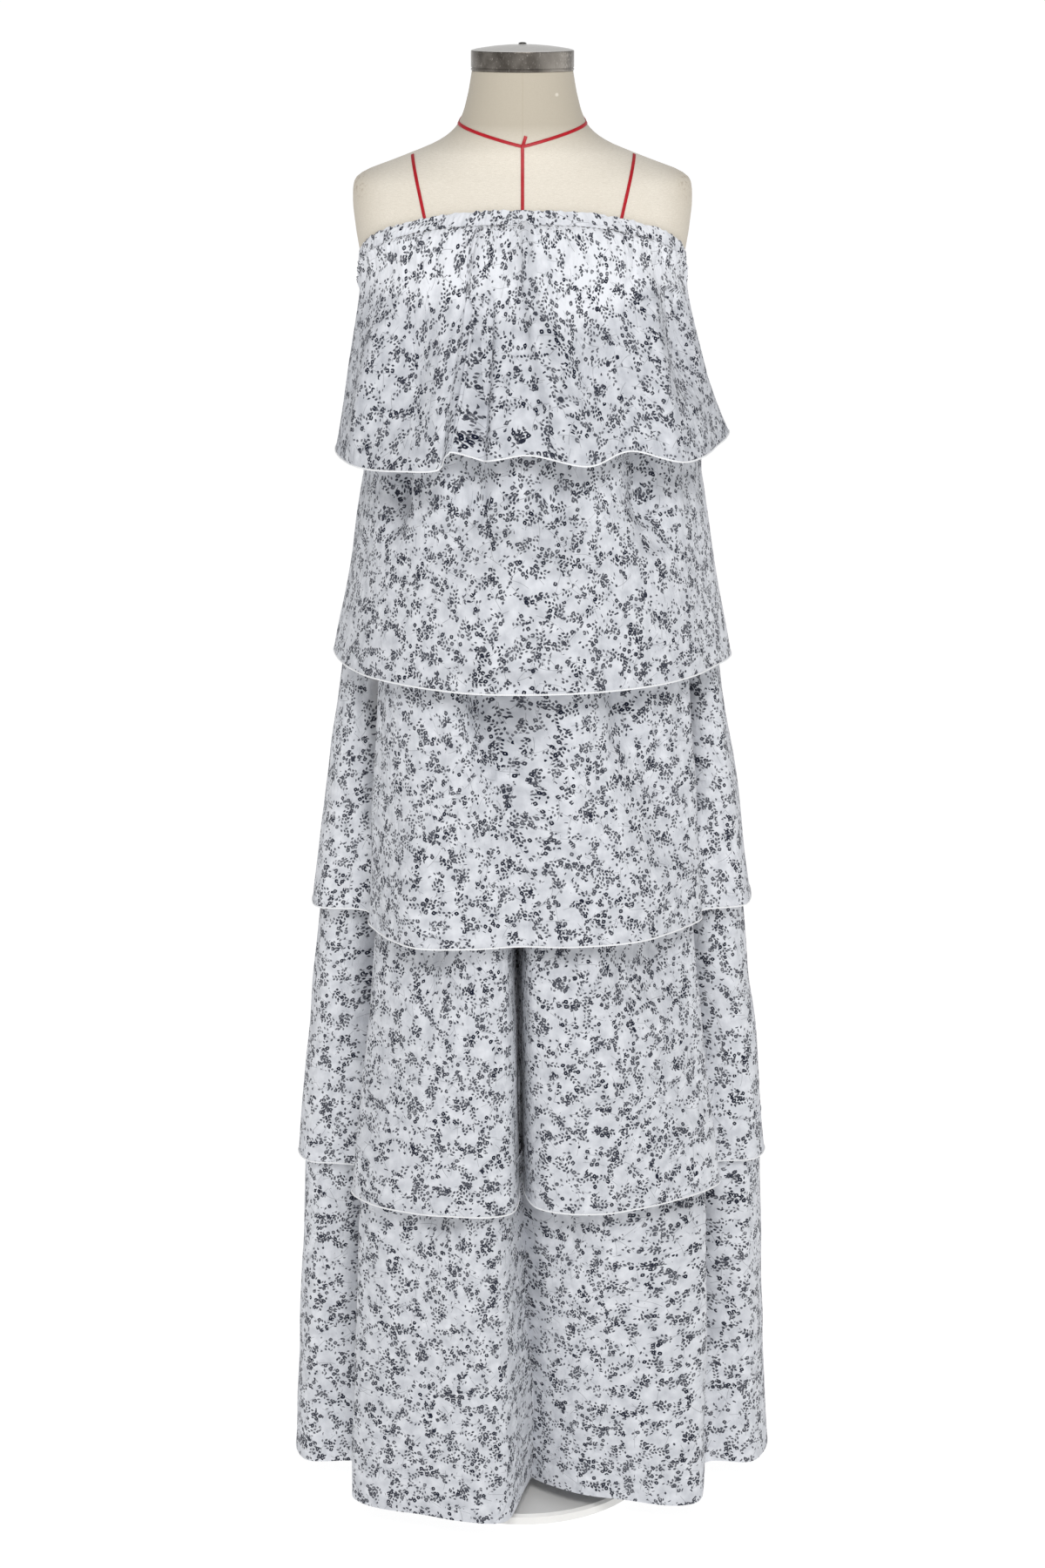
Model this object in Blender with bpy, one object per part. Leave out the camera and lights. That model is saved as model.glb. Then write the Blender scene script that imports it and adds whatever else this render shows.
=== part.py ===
# A strapless maxi dress of five gathered tiers, standing on a limbless linen dress form.
# Metres, +Z up, the front faces -Y, the origin is under the middle of the base plate.
import math

import bmesh
import bpy
from mathutils import Vector

# Driving sizes of the form and its stand.
CAP_TOP = 1.630
CAP_RADIUS = 0.0540
CAP_BAND = 0.021
CAP_DOME = 0.004
CAP_CORNER = 0.0015
CAP_LIP = 0.0008
SCREW_RADIUS = 0.0042
SCREW_HEIGHT = 0.003
FORM_FOOT = 0.900
POLE_RADIUS = 0.017
COLLAR_RADIUS = 0.040
COLLAR_HEIGHT = 0.045
BASE_RADIUS = 0.150
BASE_THICKNESS = 0.012
TAPE_WIDTH = 0.0028
TAPE_THICKNESS = 0.0005
TAPE_LIFT = 0.0004
NECK_TAPE_SIDE = 1.5530
NECK_TAPE_DROP = 0.0190
TAPE_CROSSING = 0.0045
TAPE_FOOT = 0.011
TAPE_TURN = 1.6

# Driving sizes of the dress.
WALL = 0.0012
GAP = 0.0003
NECKLINE_FRONT = 1.473
NECKLINE_SIDE_DROP = 0.088
NECKLINE_BACK_DROP = 0.025
CASING_HEIGHT = 0.014
CASING_CLEARANCE = 0.0013
CASING_SPAN = 0.0012
HANGING_EASE = 0.0028
BODICE_FOOT = 1.262
BODICE_TUCK = 0.004
SEAM_ABOVE_HEM = 0.050
DRESS_SHIFT = 0.011
STATIONS_PER_SPAN = 3
FORM_SIDES = 48
SHARPEST_MITRE = 0.08

# The bust of the form: two soft mounds on the front.
BUST_ACROSS = 0.082
BUST_HEIGHT = 1.400
BUST_LIFT = 0.012
BUST_REACH_ACROSS = 0.055
BUST_REACH_UP = 0.055

# Level sections of the form, top to bottom.
# height, half width, front, back, fullness (2 is an ellipse)
FORM_SECTIONS = (
    (1.6085, 0.0530, 0.0530, 0.0530, 2.00),
    (1.5880, 0.0565, 0.0550, 0.0560, 2.00),
    (1.5680, 0.0615, 0.0575, 0.0610, 2.00),
    (1.5530, 0.0680, 0.0600, 0.0660, 2.00),
    (1.5430, 0.0780, 0.0630, 0.0700, 2.00),
    (1.5340, 0.0930, 0.0670, 0.0740, 2.00),
    (1.5250, 0.1160, 0.0710, 0.0780, 2.05),
    (1.5160, 0.1390, 0.0750, 0.0820, 2.10),
    (1.5070, 0.1650, 0.0790, 0.0860, 2.20),
    (1.4990, 0.1770, 0.0840, 0.0900, 2.30),
    (1.4880, 0.1790, 0.0900, 0.0940, 2.40),
    (1.4710, 0.1790, 0.1000, 0.1000, 2.50),
    (1.4440, 0.1755, 0.1120, 0.1050, 2.50),
    (1.4140, 0.1700, 0.1180, 0.1060, 2.40),
    (1.3890, 0.1640, 0.1170, 0.1050, 2.30),
    (1.3600, 0.1520, 0.1120, 0.1010, 2.20),
    (1.3200, 0.1400, 0.1020, 0.0940, 2.10),
    (1.2600, 0.1260, 0.0880, 0.0840, 2.00),
    (1.2000, 0.1220, 0.0840, 0.0840, 2.00),
    (1.1200, 0.1400, 0.0940, 0.1020, 2.00),
    (1.0300, 0.1540, 0.1020, 0.1120, 2.05),
    (0.9500, 0.1560, 0.1030, 0.1100, 2.10),
    (FORM_FOOT, 0.1520, 0.1000, 0.1040, 2.10),
)

# The two princess tapes: tape, side, across at its top and at its foot, height of its top
PRINCESS_TAPES = (
    ("tape_princess_left", -1, 0.115, 0.098, 1.5235),
    ("tape_princess_right", 1, 0.117, 0.099, 1.5235),
)

# The folds of each tier's front half, from its left side seam to its right one.
# fold, across and forward where the tier comes out from under the one above, the same at its hem
TIER_TWO_FOLDS = (
    ("left seam", -0.172, 0.000, -0.206, 0.000),
    ("left side", -0.167, 0.042, -0.200, 0.048),
    ("left tuck", -0.153, 0.078, -0.184, 0.096),
    ("left edge", -0.134, 0.101, -0.160, 0.140),
    ("left roll", -0.098, 0.128, -0.112, 0.184),
    ("left middle", -0.050, 0.147, -0.052, 0.213),
    ("middle", 0.005, 0.148, 0.006, 0.218),
    ("right middle", 0.058, 0.149, 0.062, 0.212),
    ("right roll", 0.110, 0.131, 0.132, 0.182),
    ("right edge", 0.152, 0.101, 0.182, 0.136),
    ("right tuck", 0.173, 0.077, 0.205, 0.094),
    ("right side", 0.188, 0.041, 0.222, 0.047),
    ("right seam", 0.193, 0.000, 0.228, 0.000),
)
TIER_THREE_FOLDS = (
    ("left seam", -0.196, 0.000, -0.234, 0.000),
    ("left side roll", -0.184, 0.045, -0.226, 0.058),
    ("left tuck", -0.150, 0.062, -0.172, 0.076),
    ("left panel edge", -0.153, 0.104, -0.166, 0.124),
    ("left roll", -0.110, 0.158, -0.118, 0.198),
    ("left shallow fold", -0.062, 0.176, -0.058, 0.206),
    ("middle hollow", -0.020, 0.160, 0.000, 0.194),
    ("right shallow fold", 0.050, 0.178, 0.052, 0.198),
    ("right roll", 0.110, 0.154, 0.130, 0.178),
    ("right panel edge", 0.174, 0.102, 0.193, 0.110),
    ("right tuck", 0.170, 0.060, 0.198, 0.072),
    ("right side roll", 0.204, 0.044, 0.246, 0.056),
    ("right seam", 0.215, 0.000, 0.257, 0.000),
)
TIER_FOUR_FOLDS = (
    ("left seam", -0.226, 0.000, -0.256, 0.000),
    ("left side roll", -0.212, 0.042, -0.243, 0.038),
    ("left tuck", -0.158, 0.060, -0.182, 0.056),
    ("left panel edge", -0.158, 0.110, -0.190, 0.134),
    ("left lobe", -0.098, 0.180, -0.112, 0.196),
    ("left lobe edge", -0.020, 0.176, -0.015, 0.188),
    ("middle pleat", -0.006, 0.090, -0.003, 0.088),
    ("right lobe edge", 0.010, 0.166, 0.018, 0.172),
    ("right lobe", 0.088, 0.176, 0.096, 0.186),
    ("right panel edge", 0.184, 0.098, 0.219, 0.106),
    ("right tuck", 0.180, 0.056, 0.208, 0.050),
    ("right side roll", 0.230, 0.040, 0.266, 0.036),
    ("right seam", 0.246, 0.000, 0.281, 0.000),
)
TIER_FIVE_FOLDS = (
    ("left seam", -0.248, 0.000, -0.268, 0.000),
    ("left side roll", -0.234, 0.032, -0.252, 0.052),
    ("left tuck", -0.172, 0.048, -0.186, 0.060),
    ("left panel edge", -0.180, 0.118, -0.193, 0.140),
    ("left lobe", -0.104, 0.180, -0.112, 0.184),
    ("left lobe edge", -0.024, 0.174, -0.018, 0.196),
    ("middle pleat", -0.005, 0.056, -0.002, 0.078),
    ("right lobe edge", 0.026, 0.152, 0.026, 0.112),
    ("right lobe", 0.092, 0.170, 0.100, 0.146),
    ("right panel edge", 0.207, 0.096, 0.198, 0.154),
    ("right tuck", 0.196, 0.044, 0.214, 0.062),
    ("right side roll", 0.256, 0.028, 0.266, 0.060),
    ("right seam", 0.272, 0.000, 0.290, 0.000),
)
# The flutes of the top flounce: fold, its angle from the middle of the front at the casing,
# across and forward at the hem, and how much higher than HEM_ONE the hem is there
FLOUNCE_FLUTES = (
    ("left seam", -90, -0.204, 0.000, 0.004),
    ("left side", -72, -0.198, 0.070, 0.002),
    ("left lobe side", -54, -0.168, 0.140, 0.000),
    ("left lobe", -40, -0.124, 0.182, 0.004),
    ("left lobe edge", -26, -0.088, 0.196, 0.008),
    ("left hollow", -20, -0.078, 0.162, 0.020),
    ("small flute", -11, -0.036, 0.180, 0.015),
    ("middle hollow", 2, 0.006, 0.167, 0.018),
    ("right flute", 20, 0.070, 0.186, 0.010),
    ("right hollow", 36, 0.113, 0.163, 0.022),
    ("right lobe", 53, 0.166, 0.156, 0.009),
    ("right side", 74, 0.216, 0.056, 0.014),
    ("right seam", 90, 0.226, 0.000, 0.018),
)
HEM_ONE = 1.212
# How far down the flounce and the bodice each of their rings lies.
FLOUNCE_SHARES = (0.16, 0.32, 0.55, 0.78, 1)
BODICE_SHARES = (0.14, 0.28, 0.45, 1)
# tier, its folds, the height of its hem
LOWER_TIERS = (
    ("tier_2", TIER_TWO_FOLDS, 0.990),
    ("tier_3", TIER_THREE_FOLDS, 0.709),
    ("tier_4", TIER_FOUR_FOLDS, 0.400),
    ("tier_5", TIER_FIVE_FOLDS, 0.030),
)
TIER_TWO_OUT = 1.185
BACK_DEPTH_SHARE = 0.94

# finish, base colour, roughness, metallic
FINISHES = {
    "printed_chiffon": ((0.62, 0.64, 0.67, 1), 0.85, 0.0),
    "form_linen": ((0.80, 0.74, 0.62, 1), 0.90, 0.0),
    "cap_steel": ((0.55, 0.54, 0.52, 1), 0.30, 1.0),
    "style_tape": ((0.55, 0.02, 0.03, 1), 0.45, 0.0),
    "stand_paint": ((0.86, 0.85, 0.82, 1), 0.40, 0.0),
}


def clear_scene():
    for thing in list(bpy.data.objects):
        bpy.data.objects.remove(thing, do_unlink=True)


def finish(name):
    if name in bpy.data.materials:
        return bpy.data.materials[name]
    colour, roughness, metallic = FINISHES[name]
    material = bpy.data.materials.new(name)
    material.use_nodes = True
    shader = material.node_tree.nodes["Principled BSDF"]
    shader.inputs["Base Color"].default_value = colour
    shader.inputs["Roughness"].default_value = roughness
    shader.inputs["Metallic"].default_value = metallic
    return material


def add_object(name, mesh_edit, finish_name):
    bmesh.ops.recalc_face_normals(mesh_edit, faces=mesh_edit.faces)
    mesh = bpy.data.meshes.new(name)
    mesh_edit.to_mesh(mesh)
    mesh_edit.free()
    mesh.shade_smooth()
    mesh.set_sharp_from_angle(angle=math.radians(40))
    mesh.materials.append(finish(finish_name))
    made = bpy.data.objects.new(name, mesh)
    bpy.context.scene.collection.objects.link(made)
    return made


def solid_from_rings(name, rings, finish_name):
    """Closed level rings joined top to bottom, with a flat face over each end."""
    edit = bmesh.new()
    rows = [[edit.verts.new(point) for point in ring] for ring in rings]
    count = len(rings[0])
    for upper, lower in zip(rows, rows[1:]):
        for side in range(count):
            after = (side + 1) % count
            edit.faces.new((upper[side], lower[side], lower[after], upper[after]))
    edit.faces.new(rows[0])
    edit.faces.new(rows[-1])
    return add_object(name, edit, finish_name)


def turned(name, profile, finish_name, sides=48):
    """A round solid from (radius, height) corners, top to bottom."""
    rings = []
    for radius, height in profile:
        turns = [2 * math.pi * side / sides for side in range(sides)]
        rings.append([Vector((radius * math.cos(t), radius * math.sin(t), height)) for t in turns])
    return solid_from_rings(name, rings, finish_name)


def section_point(section, angle):
    """A point of one level section, at an angle from the middle of the front."""
    height, half_width, front, back, fullness = section
    depth = front if abs(angle) <= math.pi / 2 else back
    aside = abs(math.sin(angle)) / half_width
    ahead = abs(math.cos(angle)) / depth
    radius = (aside**fullness + ahead**fullness) ** (-1 / fullness)
    if abs(angle) < math.pi / 2:
        off_across = (radius * abs(math.sin(angle)) - BUST_ACROSS) / BUST_REACH_ACROSS
        off_up = (height - BUST_HEIGHT) / BUST_REACH_UP
        radius += BUST_LIFT * math.exp(-(off_across**2) - off_up**2)
    return Vector((radius * math.sin(angle), -radius * math.cos(angle), height))


def form_point(angle, height):
    """The form's surface at an angle and a height, straight between its sections."""
    for upper, lower in zip(FORM_SECTIONS, FORM_SECTIONS[1:]):
        if height >= lower[0]:
            share = (upper[0] - height) / (upper[0] - lower[0])
            return section_point(upper, angle).lerp(section_point(lower, angle), share)
    return section_point(FORM_SECTIONS[-1], angle)


def form_normal(angle, height):
    step = 0.002
    along = form_point(angle + step, height) - form_point(angle - step, height)
    up = form_point(angle, height + step) - form_point(angle, height - step)
    return along.cross(up).normalized()


def off_form(angle, height, distance):
    """A point at the form's height and angle, moved level and square to its section."""
    step = 0.01
    along = form_point(angle + step, height) - form_point(angle - step, height)
    outward = Vector((along.y, -along.x, 0)).normalized()
    return form_point(angle, height) + outward * distance


def angle_at(across, height, behind=False):
    """The angle at which the form's surface is this far across at a height."""
    low, high = 0.0, math.pi / 2
    for _ in range(40):
        middle = (low + high) / 2
        if form_point(math.pi - middle if behind else middle, height).x < abs(across):
            low = middle
        else:
            high = middle
    angle = math.pi - low if behind else low
    return math.copysign(angle, across)


def neckline(angle):
    """The height of the dress's top edge: high in front, low under the arms."""
    aside = min(abs(angle), math.pi - abs(angle)) / (math.pi / 2)
    if abs(angle) <= math.pi / 2:
        return NECKLINE_FRONT - NECKLINE_SIDE_DROP * aside**3.6
    return NECKLINE_FRONT - NECKLINE_BACK_DROP - (NECKLINE_SIDE_DROP - NECKLINE_BACK_DROP) * aside**3.6


def all_round(front_knots):
    """The front's folds and, turned half round, the same folds for the back."""
    back = []
    for across, forward, height in front_knots[1:-1]:
        back.append(Vector((2 * DRESS_SHIFT - across, -forward * BACK_DEPTH_SHARE, height)))
    return [Vector(knot) for knot in front_knots] + back


def spline_ring(knots):
    """A smooth closed ring through the knots, with the same number of stations on every span."""
    count = len(knots)
    stations = []
    for index in range(count):
        before, start, end, after = (knots[(index + k) % count] for k in (-1, 0, 1, 2))
        first, middle, last = (
            math.sqrt((b - a).length) for a, b in ((before, start), (start, end), (end, after))
        )
        leave = (start - before) / first - (end - before) / (first + middle) + (end - start) / middle
        arrive = (end - start) / middle - (after - start) / (middle + last) + (after - end) / last
        for step in range(STATIONS_PER_SPAN):
            t = step / STATIONS_PER_SPAN
            stations.append(
                start * (2 * t**3 - 3 * t**2 + 1)
                + leave * middle * (t**3 - 2 * t**2 + t)
                + end * (3 * t**2 - 2 * t**3)
                + arrive * middle * (t**3 - t**2)
            )
    return stations


def fold_ring(folds, at_hem, height):
    """A tier's ring where it comes out from under the one above, or at its hem."""
    column = 3 if at_hem else 1
    return spline_ring(all_round([(row[column], -row[column + 1], height) for row in folds]))


def blend(upper, lower, share):
    return [a.lerp(b, share) for a, b in zip(upper, lower)]


def shifted(ring, distance):
    """Every station moved level and square to both its neighbours' sides, outwards if positive."""
    count = len(ring)
    moved = []
    for index, point in enumerate(ring):
        before = point - ring[index - 1]
        after = ring[(index + 1) % count] - point
        first = Vector((before.y, -before.x, 0)).normalized()
        second = Vector((after.y, -after.x, 0)).normalized()
        mitre = (first + second) / max(1 + first.dot(second), SHARPEST_MITRE)
        moved.append(point + mitre * distance)
    return moved


def cleared(ring, clearance):
    """A ring pushed out wherever the form would come nearer than the clearance."""
    pushed = []
    for point in ring:
        angle = math.atan2(point.x, -point.y)
        least = off_form(angle, point.z, clearance)
        short = math.hypot(point.x, point.y) < math.hypot(least.x, least.y)
        pushed.append(Vector((least.x, least.y, point.z)) if short else point)
    return pushed


def station_angles():
    """The angle of each station at the casing, even between the flutes."""
    front = [math.radians(row[1]) for row in FLOUNCE_FLUTES]
    back = [angle + math.pi for angle in front[1:-1]]
    knots = front + back + [front[0] + 2 * math.pi]
    angles = []
    for start, end in zip(knots, knots[1:]):
        for step in range(STATIONS_PER_SPAN):
            angle = start + (end - start) * step / STATIONS_PER_SPAN
            angles.append(angle - 2 * math.pi if angle > math.pi else angle)
    return angles


def hugging_ring(angles, below, distance):
    """A ring that follows the neckline, and spans the form's rounded corners a little."""
    ring = []
    for angle in angles:
        spanned = distance + CASING_SPAN * math.sin(2 * angle) ** 2
        ring.append(off_form(angle, neckline(angle) - below, spanned))
    return ring


def lined(outer_rings):
    """The cloth's inner face, one wall inside its outer face."""
    return [shifted(ring, -WALL) for ring in outer_rings]


def cloth_halves(name, outer_rings, inner_rings):
    """A tube of cloth cut at both side seams into a front and a back."""
    count = len(outer_rings[0])
    half = count // 2
    for side, first in (("front", 0), ("back", half)):
        edit = bmesh.new()
        faces_of = []
        for rings in (outer_rings, inner_rings):
            rows = []
            for ring in rings:
                points = [ring[(first + step) % count] for step in range(half + 1)]
                points[0] = points[0] + (points[1] - points[0]).normalized() * GAP / 2
                points[-1] = points[-1] + (points[-2] - points[-1]).normalized() * GAP / 2
                rows.append([edit.verts.new(point) for point in points])
            faces_of.append(rows)
        outer, inner = faces_of
        for row in range(len(outer) - 1):
            for step in range(half):
                for rows in (outer, inner):
                    a, b = rows[row], rows[row + 1]
                    edit.faces.new((a[step], b[step], b[step + 1], a[step + 1]))
            for end in (0, half):
                edit.faces.new((outer[row][end], inner[row][end], inner[row + 1][end], outer[row + 1][end]))
        for row in (0, -1):
            for step in range(half):
                a, b = outer[row], inner[row]
                edit.faces.new((a[step], a[step + 1], b[step + 1], b[step]))
        add_object(f"{name}_{side}", edit, "printed_chiffon")


def tape(name, places, closed=False):
    """A narrow tape on the form's surface, through (angle, height) places."""
    points = [form_point(*place) for place in places]
    normals = [form_normal(*place) for place in places]
    last = len(points) - 1
    edit = bmesh.new()
    rows = []
    for index, (point, normal) in enumerate(zip(points, normals)):
        before = points[index - 1] if closed or index else point
        after = points[0 if closed and index == last else min(index + 1, last)]
        aside = (after - before).cross(normal).normalized() * TAPE_WIDTH / 2
        low, high = point + normal * TAPE_LIFT, point + normal * (TAPE_LIFT + TAPE_THICKNESS)
        rows.append([edit.verts.new(p) for p in (low - aside, low + aside, high + aside, high - aside)])
    for a, b in zip(rows, rows[1:] + rows[:1] if closed else rows[1:]):
        for side in range(4):
            after = (side + 1) % 4
            edit.faces.new((a[side], b[side], b[after], a[after]))
    if not closed:
        edit.faces.new(rows[0])
        edit.faces.new(rows[-1])
    add_object(name, edit, "style_tape")


def make_form():
    angles = [2 * math.pi * side / FORM_SIDES - math.pi for side in range(FORM_SIDES)]
    rings = [[section_point(section, angle) for angle in angles] for section in FORM_SECTIONS]
    solid_from_rings("form_torso", rings, "form_linen")


def make_cap():
    foot = CAP_TOP - CAP_DOME - CAP_BAND
    edge = CAP_TOP - CAP_DOME
    profile = (
        (CAP_RADIUS * 0.25, CAP_TOP),
        (CAP_RADIUS * 0.65, CAP_TOP - CAP_DOME * 0.4),
        (CAP_RADIUS - CAP_CORNER, edge),
        (CAP_RADIUS, edge - CAP_CORNER),
        (CAP_RADIUS, foot + CAP_LIP),
        (CAP_RADIUS - CAP_LIP, foot),
    )
    lifted = FORM_SECTIONS[0][0] + GAP - foot
    turned("neck_cap", [(radius, height + lifted) for radius, height in profile], "cap_steel")
    seat = CAP_TOP + lifted + GAP
    screw = (
        (SCREW_RADIUS * 0.6, seat + SCREW_HEIGHT),
        (SCREW_RADIUS, seat + SCREW_HEIGHT * 0.6),
        (SCREW_RADIUS, seat),
    )
    turned("cap_screw", screw, "cap_steel", sides=16)


def make_stand():
    plate = (
        (BASE_RADIUS - 0.003, BASE_THICKNESS),
        (BASE_RADIUS, BASE_THICKNESS - 0.003),
        (BASE_RADIUS, 0),
    )
    turned("base_plate", plate, "stand_paint", sides=64)
    collar_foot = BASE_THICKNESS + GAP
    collar_top = collar_foot + COLLAR_HEIGHT
    collar = (
        (POLE_RADIUS + 0.004, collar_top),
        (COLLAR_RADIUS * 0.75, collar_top - 0.010),
        (COLLAR_RADIUS, collar_foot + 0.006),
        (COLLAR_RADIUS, collar_foot),
    )
    turned("base_collar", collar, "stand_paint", sides=32)
    pole = ((POLE_RADIUS, FORM_FOOT - GAP), (POLE_RADIUS, collar_top + GAP))
    turned("form_pole", pole, "stand_paint", sides=32)


def make_tapes():
    neck = []
    for step in range(FORM_SIDES):
        angle = -math.pi + 2 * math.pi * (step + 0.5) / FORM_SIDES
        neck.append((angle, NECK_TAPE_SIDE - NECK_TAPE_DROP * math.cos(angle)))
    tape("tape_neck", neck, closed=True)
    top = NECK_TAPE_SIDE - NECK_TAPE_DROP - TAPE_CROSSING
    foot = NECKLINE_FRONT - TAPE_FOOT
    places = [(0.0, top + (foot - top) * step / 12) for step in range(13)]
    tape("tape_centre_front", places)
    for name, side, top_across, foot_across, top in PRINCESS_TAPES:
        foot = neckline(angle_at(foot_across, NECKLINE_FRONT)) - TAPE_FOOT
        places = []
        for step in range(17):
            share = (step / 16) ** TAPE_TURN
            across = top_across + (foot_across - top_across) * share
            height = top + (foot - top) * share
            places.append((angle_at(across * side, height), height))
        tape(name, places)


def make_top():
    """The elastic casing, the flounce that hangs from it and the plain bodice inside."""
    angles = station_angles()
    bodice_out = CASING_CLEARANCE + WALL
    flounce_out = bodice_out + GAP + WALL
    outer, inner = (
        [hugging_ring(angles, below, off) for below in (0, CASING_HEIGHT)]
        for off in (flounce_out, CASING_CLEARANCE)
    )
    cloth_halves("neck_casing", outer, inner)
    below_casing = CASING_HEIGHT + 2 * GAP
    hem = spline_ring(all_round([(row[2], -row[3], HEM_ONE + row[4]) for row in FLOUNCE_FLUTES]))
    seam = hugging_ring(angles, below_casing, flounce_out)
    hanging = [blend(seam, hem, share) for share in FLOUNCE_SHARES]
    hanging = [cleared(ring, flounce_out + 2 * HANGING_EASE) for ring in hanging]
    inner_seam = hugging_ring(angles, below_casing, flounce_out - WALL)
    cloth_halves("flounce", [seam] + hanging, [inner_seam] + lined(hanging))
    foot = shifted(fold_ring(TIER_TWO_FOLDS, False, BODICE_FOOT), -BODICE_TUCK)
    top = hugging_ring(angles, below_casing, bodice_out)
    hanging = [blend(top, foot, share) for share in BODICE_SHARES]
    hanging = [cleared(ring, bodice_out + HANGING_EASE) for ring in hanging]
    inner_top = hugging_ring(angles, below_casing, CASING_CLEARANCE)
    cloth_halves("bodice", [top] + hanging, [inner_top] + lined(hanging))
    return foot


def make_lower_tiers(bodice_foot):
    """Tier two hangs from the bodice, each next tier from inside the tier above it."""
    seam = [point - Vector((0, 0, GAP)) for point in bodice_foot]
    out_height = TIER_TWO_OUT
    for name, folds, hem_height in LOWER_TIERS:
        out = fold_ring(folds, False, out_height)
        hem = fold_ring(folds, True, hem_height)
        next_seam = hem_height + SEAM_ABOVE_HEM
        seam_share = (out_height - next_seam) / (out_height - hem_height)
        shares = (0.5 * seam_share, seam_share, 1)
        rings = [seam, out] + [blend(out, hem, share) for share in shares]
        cloth_halves(name, rings, lined(rings))
        seam = shifted(rings[3], -WALL - GAP)
        out_height = hem_height


def main():
    clear_scene()
    make_form()
    make_cap()
    make_stand()
    make_tapes()
    make_lower_tiers(make_top())


main()
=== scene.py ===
# A strapless maxi dress of five tiers in printed chiffon, on a linen dress form with a steel cap.
# Metres, +Z up, the front faces -Y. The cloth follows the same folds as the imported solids.
import math

import bmesh
import bpy
import numpy as np
from mathutils import Matrix, Vector


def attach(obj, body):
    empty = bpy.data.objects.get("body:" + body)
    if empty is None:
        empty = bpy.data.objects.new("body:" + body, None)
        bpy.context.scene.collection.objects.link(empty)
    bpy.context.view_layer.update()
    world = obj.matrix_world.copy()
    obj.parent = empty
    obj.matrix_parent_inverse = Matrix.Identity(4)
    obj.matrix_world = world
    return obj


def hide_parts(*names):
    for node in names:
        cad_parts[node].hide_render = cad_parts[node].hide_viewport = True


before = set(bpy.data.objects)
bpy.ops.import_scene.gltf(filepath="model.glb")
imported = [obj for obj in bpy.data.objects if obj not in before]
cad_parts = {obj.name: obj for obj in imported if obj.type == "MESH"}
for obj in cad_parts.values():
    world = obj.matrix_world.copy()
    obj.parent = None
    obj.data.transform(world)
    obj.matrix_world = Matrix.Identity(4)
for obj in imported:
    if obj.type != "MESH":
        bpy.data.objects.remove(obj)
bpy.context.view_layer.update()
print("frame loaded:", len(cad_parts), "nodes")


class Wire:
    # One output socket. A sum written on it adds the Math node that works it out.
    def __init__(self, board, socket):
        self.board, self.socket = board, socket

    def out(self, name):
        return Wire(self.board, self.socket.node.outputs[name])

    def math(self, operation, other=None):
        return self.board.math(operation, self, other)

    def __rsub__(self, other):
        return self.board.math("SUBTRACT", other, self)

    def __abs__(self):
        return self.math("ABSOLUTE")

    def held(self, low=0.0, high=1.0):
        return self.board.node("ShaderNodeClamp", None, {"Value": self, "Min": low, "Max": high})

    def parts(self):
        split = self.board.node("ShaderNodeSeparateXYZ", None, {0: self})
        return split.out("X"), split.out("Y"), split.out("Z")


for method, operation in (
        ("__add__", "ADD"), ("__mul__", "MULTIPLY"), ("__rmul__", "MULTIPLY"), ("__sub__", "SUBTRACT"),
        ("__truediv__", "DIVIDE"), ("__pow__", "POWER"), ("__lt__", "LESS_THAN"), ("__gt__", "GREATER_THAN"),
        ("most", "MAXIMUM")):
    setattr(Wire, method, lambda self, other, operation=operation: self.math(operation, other))


class Board:
    # A node tree, shader or geometry, and the one way of adding a node to it.
    def __init__(self, tree):
        self.tree = tree

    def node(self, kind, settings=None, values=None, out=0):
        made = self.tree.nodes.new(kind)
        for name, value in (settings or {}).items():
            setattr(made, name, value)
        for name, value in (values or {}).items():
            if isinstance(value, Wire):
                self.tree.links.new(value.socket, made.inputs[name])
            elif value is not None:
                made.inputs[name].default_value = value
        return Wire(self, made.outputs[out]) if made.outputs else made

    def ramp(self, share, stops):
        # Greys that change along share: pairs of place and brightness.
        made = self.node("ShaderNodeValToRGB", None, {"Fac": share})
        elements = made.socket.node.color_ramp.elements
        for place, _ in stops[1:-1]:
            elements.new(place)
        for element, (place, grey) in zip(elements, stops):
            element.position, element.color = place, (grey, grey, grey, 1)
        return made

    def draws(self, place):
        # Three chances of 0 to 1 from white noise at a place.
        return self.node("ShaderNodeTexWhiteNoise", None, {"Vector": place}, out="Color")

    def turned(self, place, angle):
        values = {"Vector": place, "Angle": angle}
        return self.node("ShaderNodeVectorRotate", {"rotation_type": "Z_AXIS"}, values)

    def stretched(self, place, sizes, detail):
        # Noise with its own cells to the metre along X, Y and Z.
        return self.noise(self.vector("MULTIPLY", place, sizes), 1.0, detail)

    def objectPlace(self):
        return self.node("ShaderNodeTexCoord", None, None, out=3)

    def math(self, operation, a, b=None):
        return self.node("ShaderNodeMath", {"operation": operation}, {0: a, 1: b})

    def vector(self, operation, a, b=None, c=None):
        return self.node("ShaderNodeVectorMath", {"operation": operation}, {0: a, 1: b, 2: c})

    def mix(self, share, a, b):
        return self.node("ShaderNodeMix", {"data_type": "RGBA"}, {0: share, 6: a, 7: b}, out=2)

    def noise(self, place, scale, detail=2.0, rough=0.5, flat=False):
        sizes = {"Vector": place, "Scale": scale, "Detail": detail, "Roughness": rough}
        return self.node("ShaderNodeTexNoise", {"noise_dimensions": "2D" if flat else "3D"}, sizes)

    def bump(self, height, distance, strength=1.0, normal=None):
        values = {"Height": height, "Distance": distance, "Strength": strength, "Normal": normal}
        return self.node("ShaderNodeBump", None, values)


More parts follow.
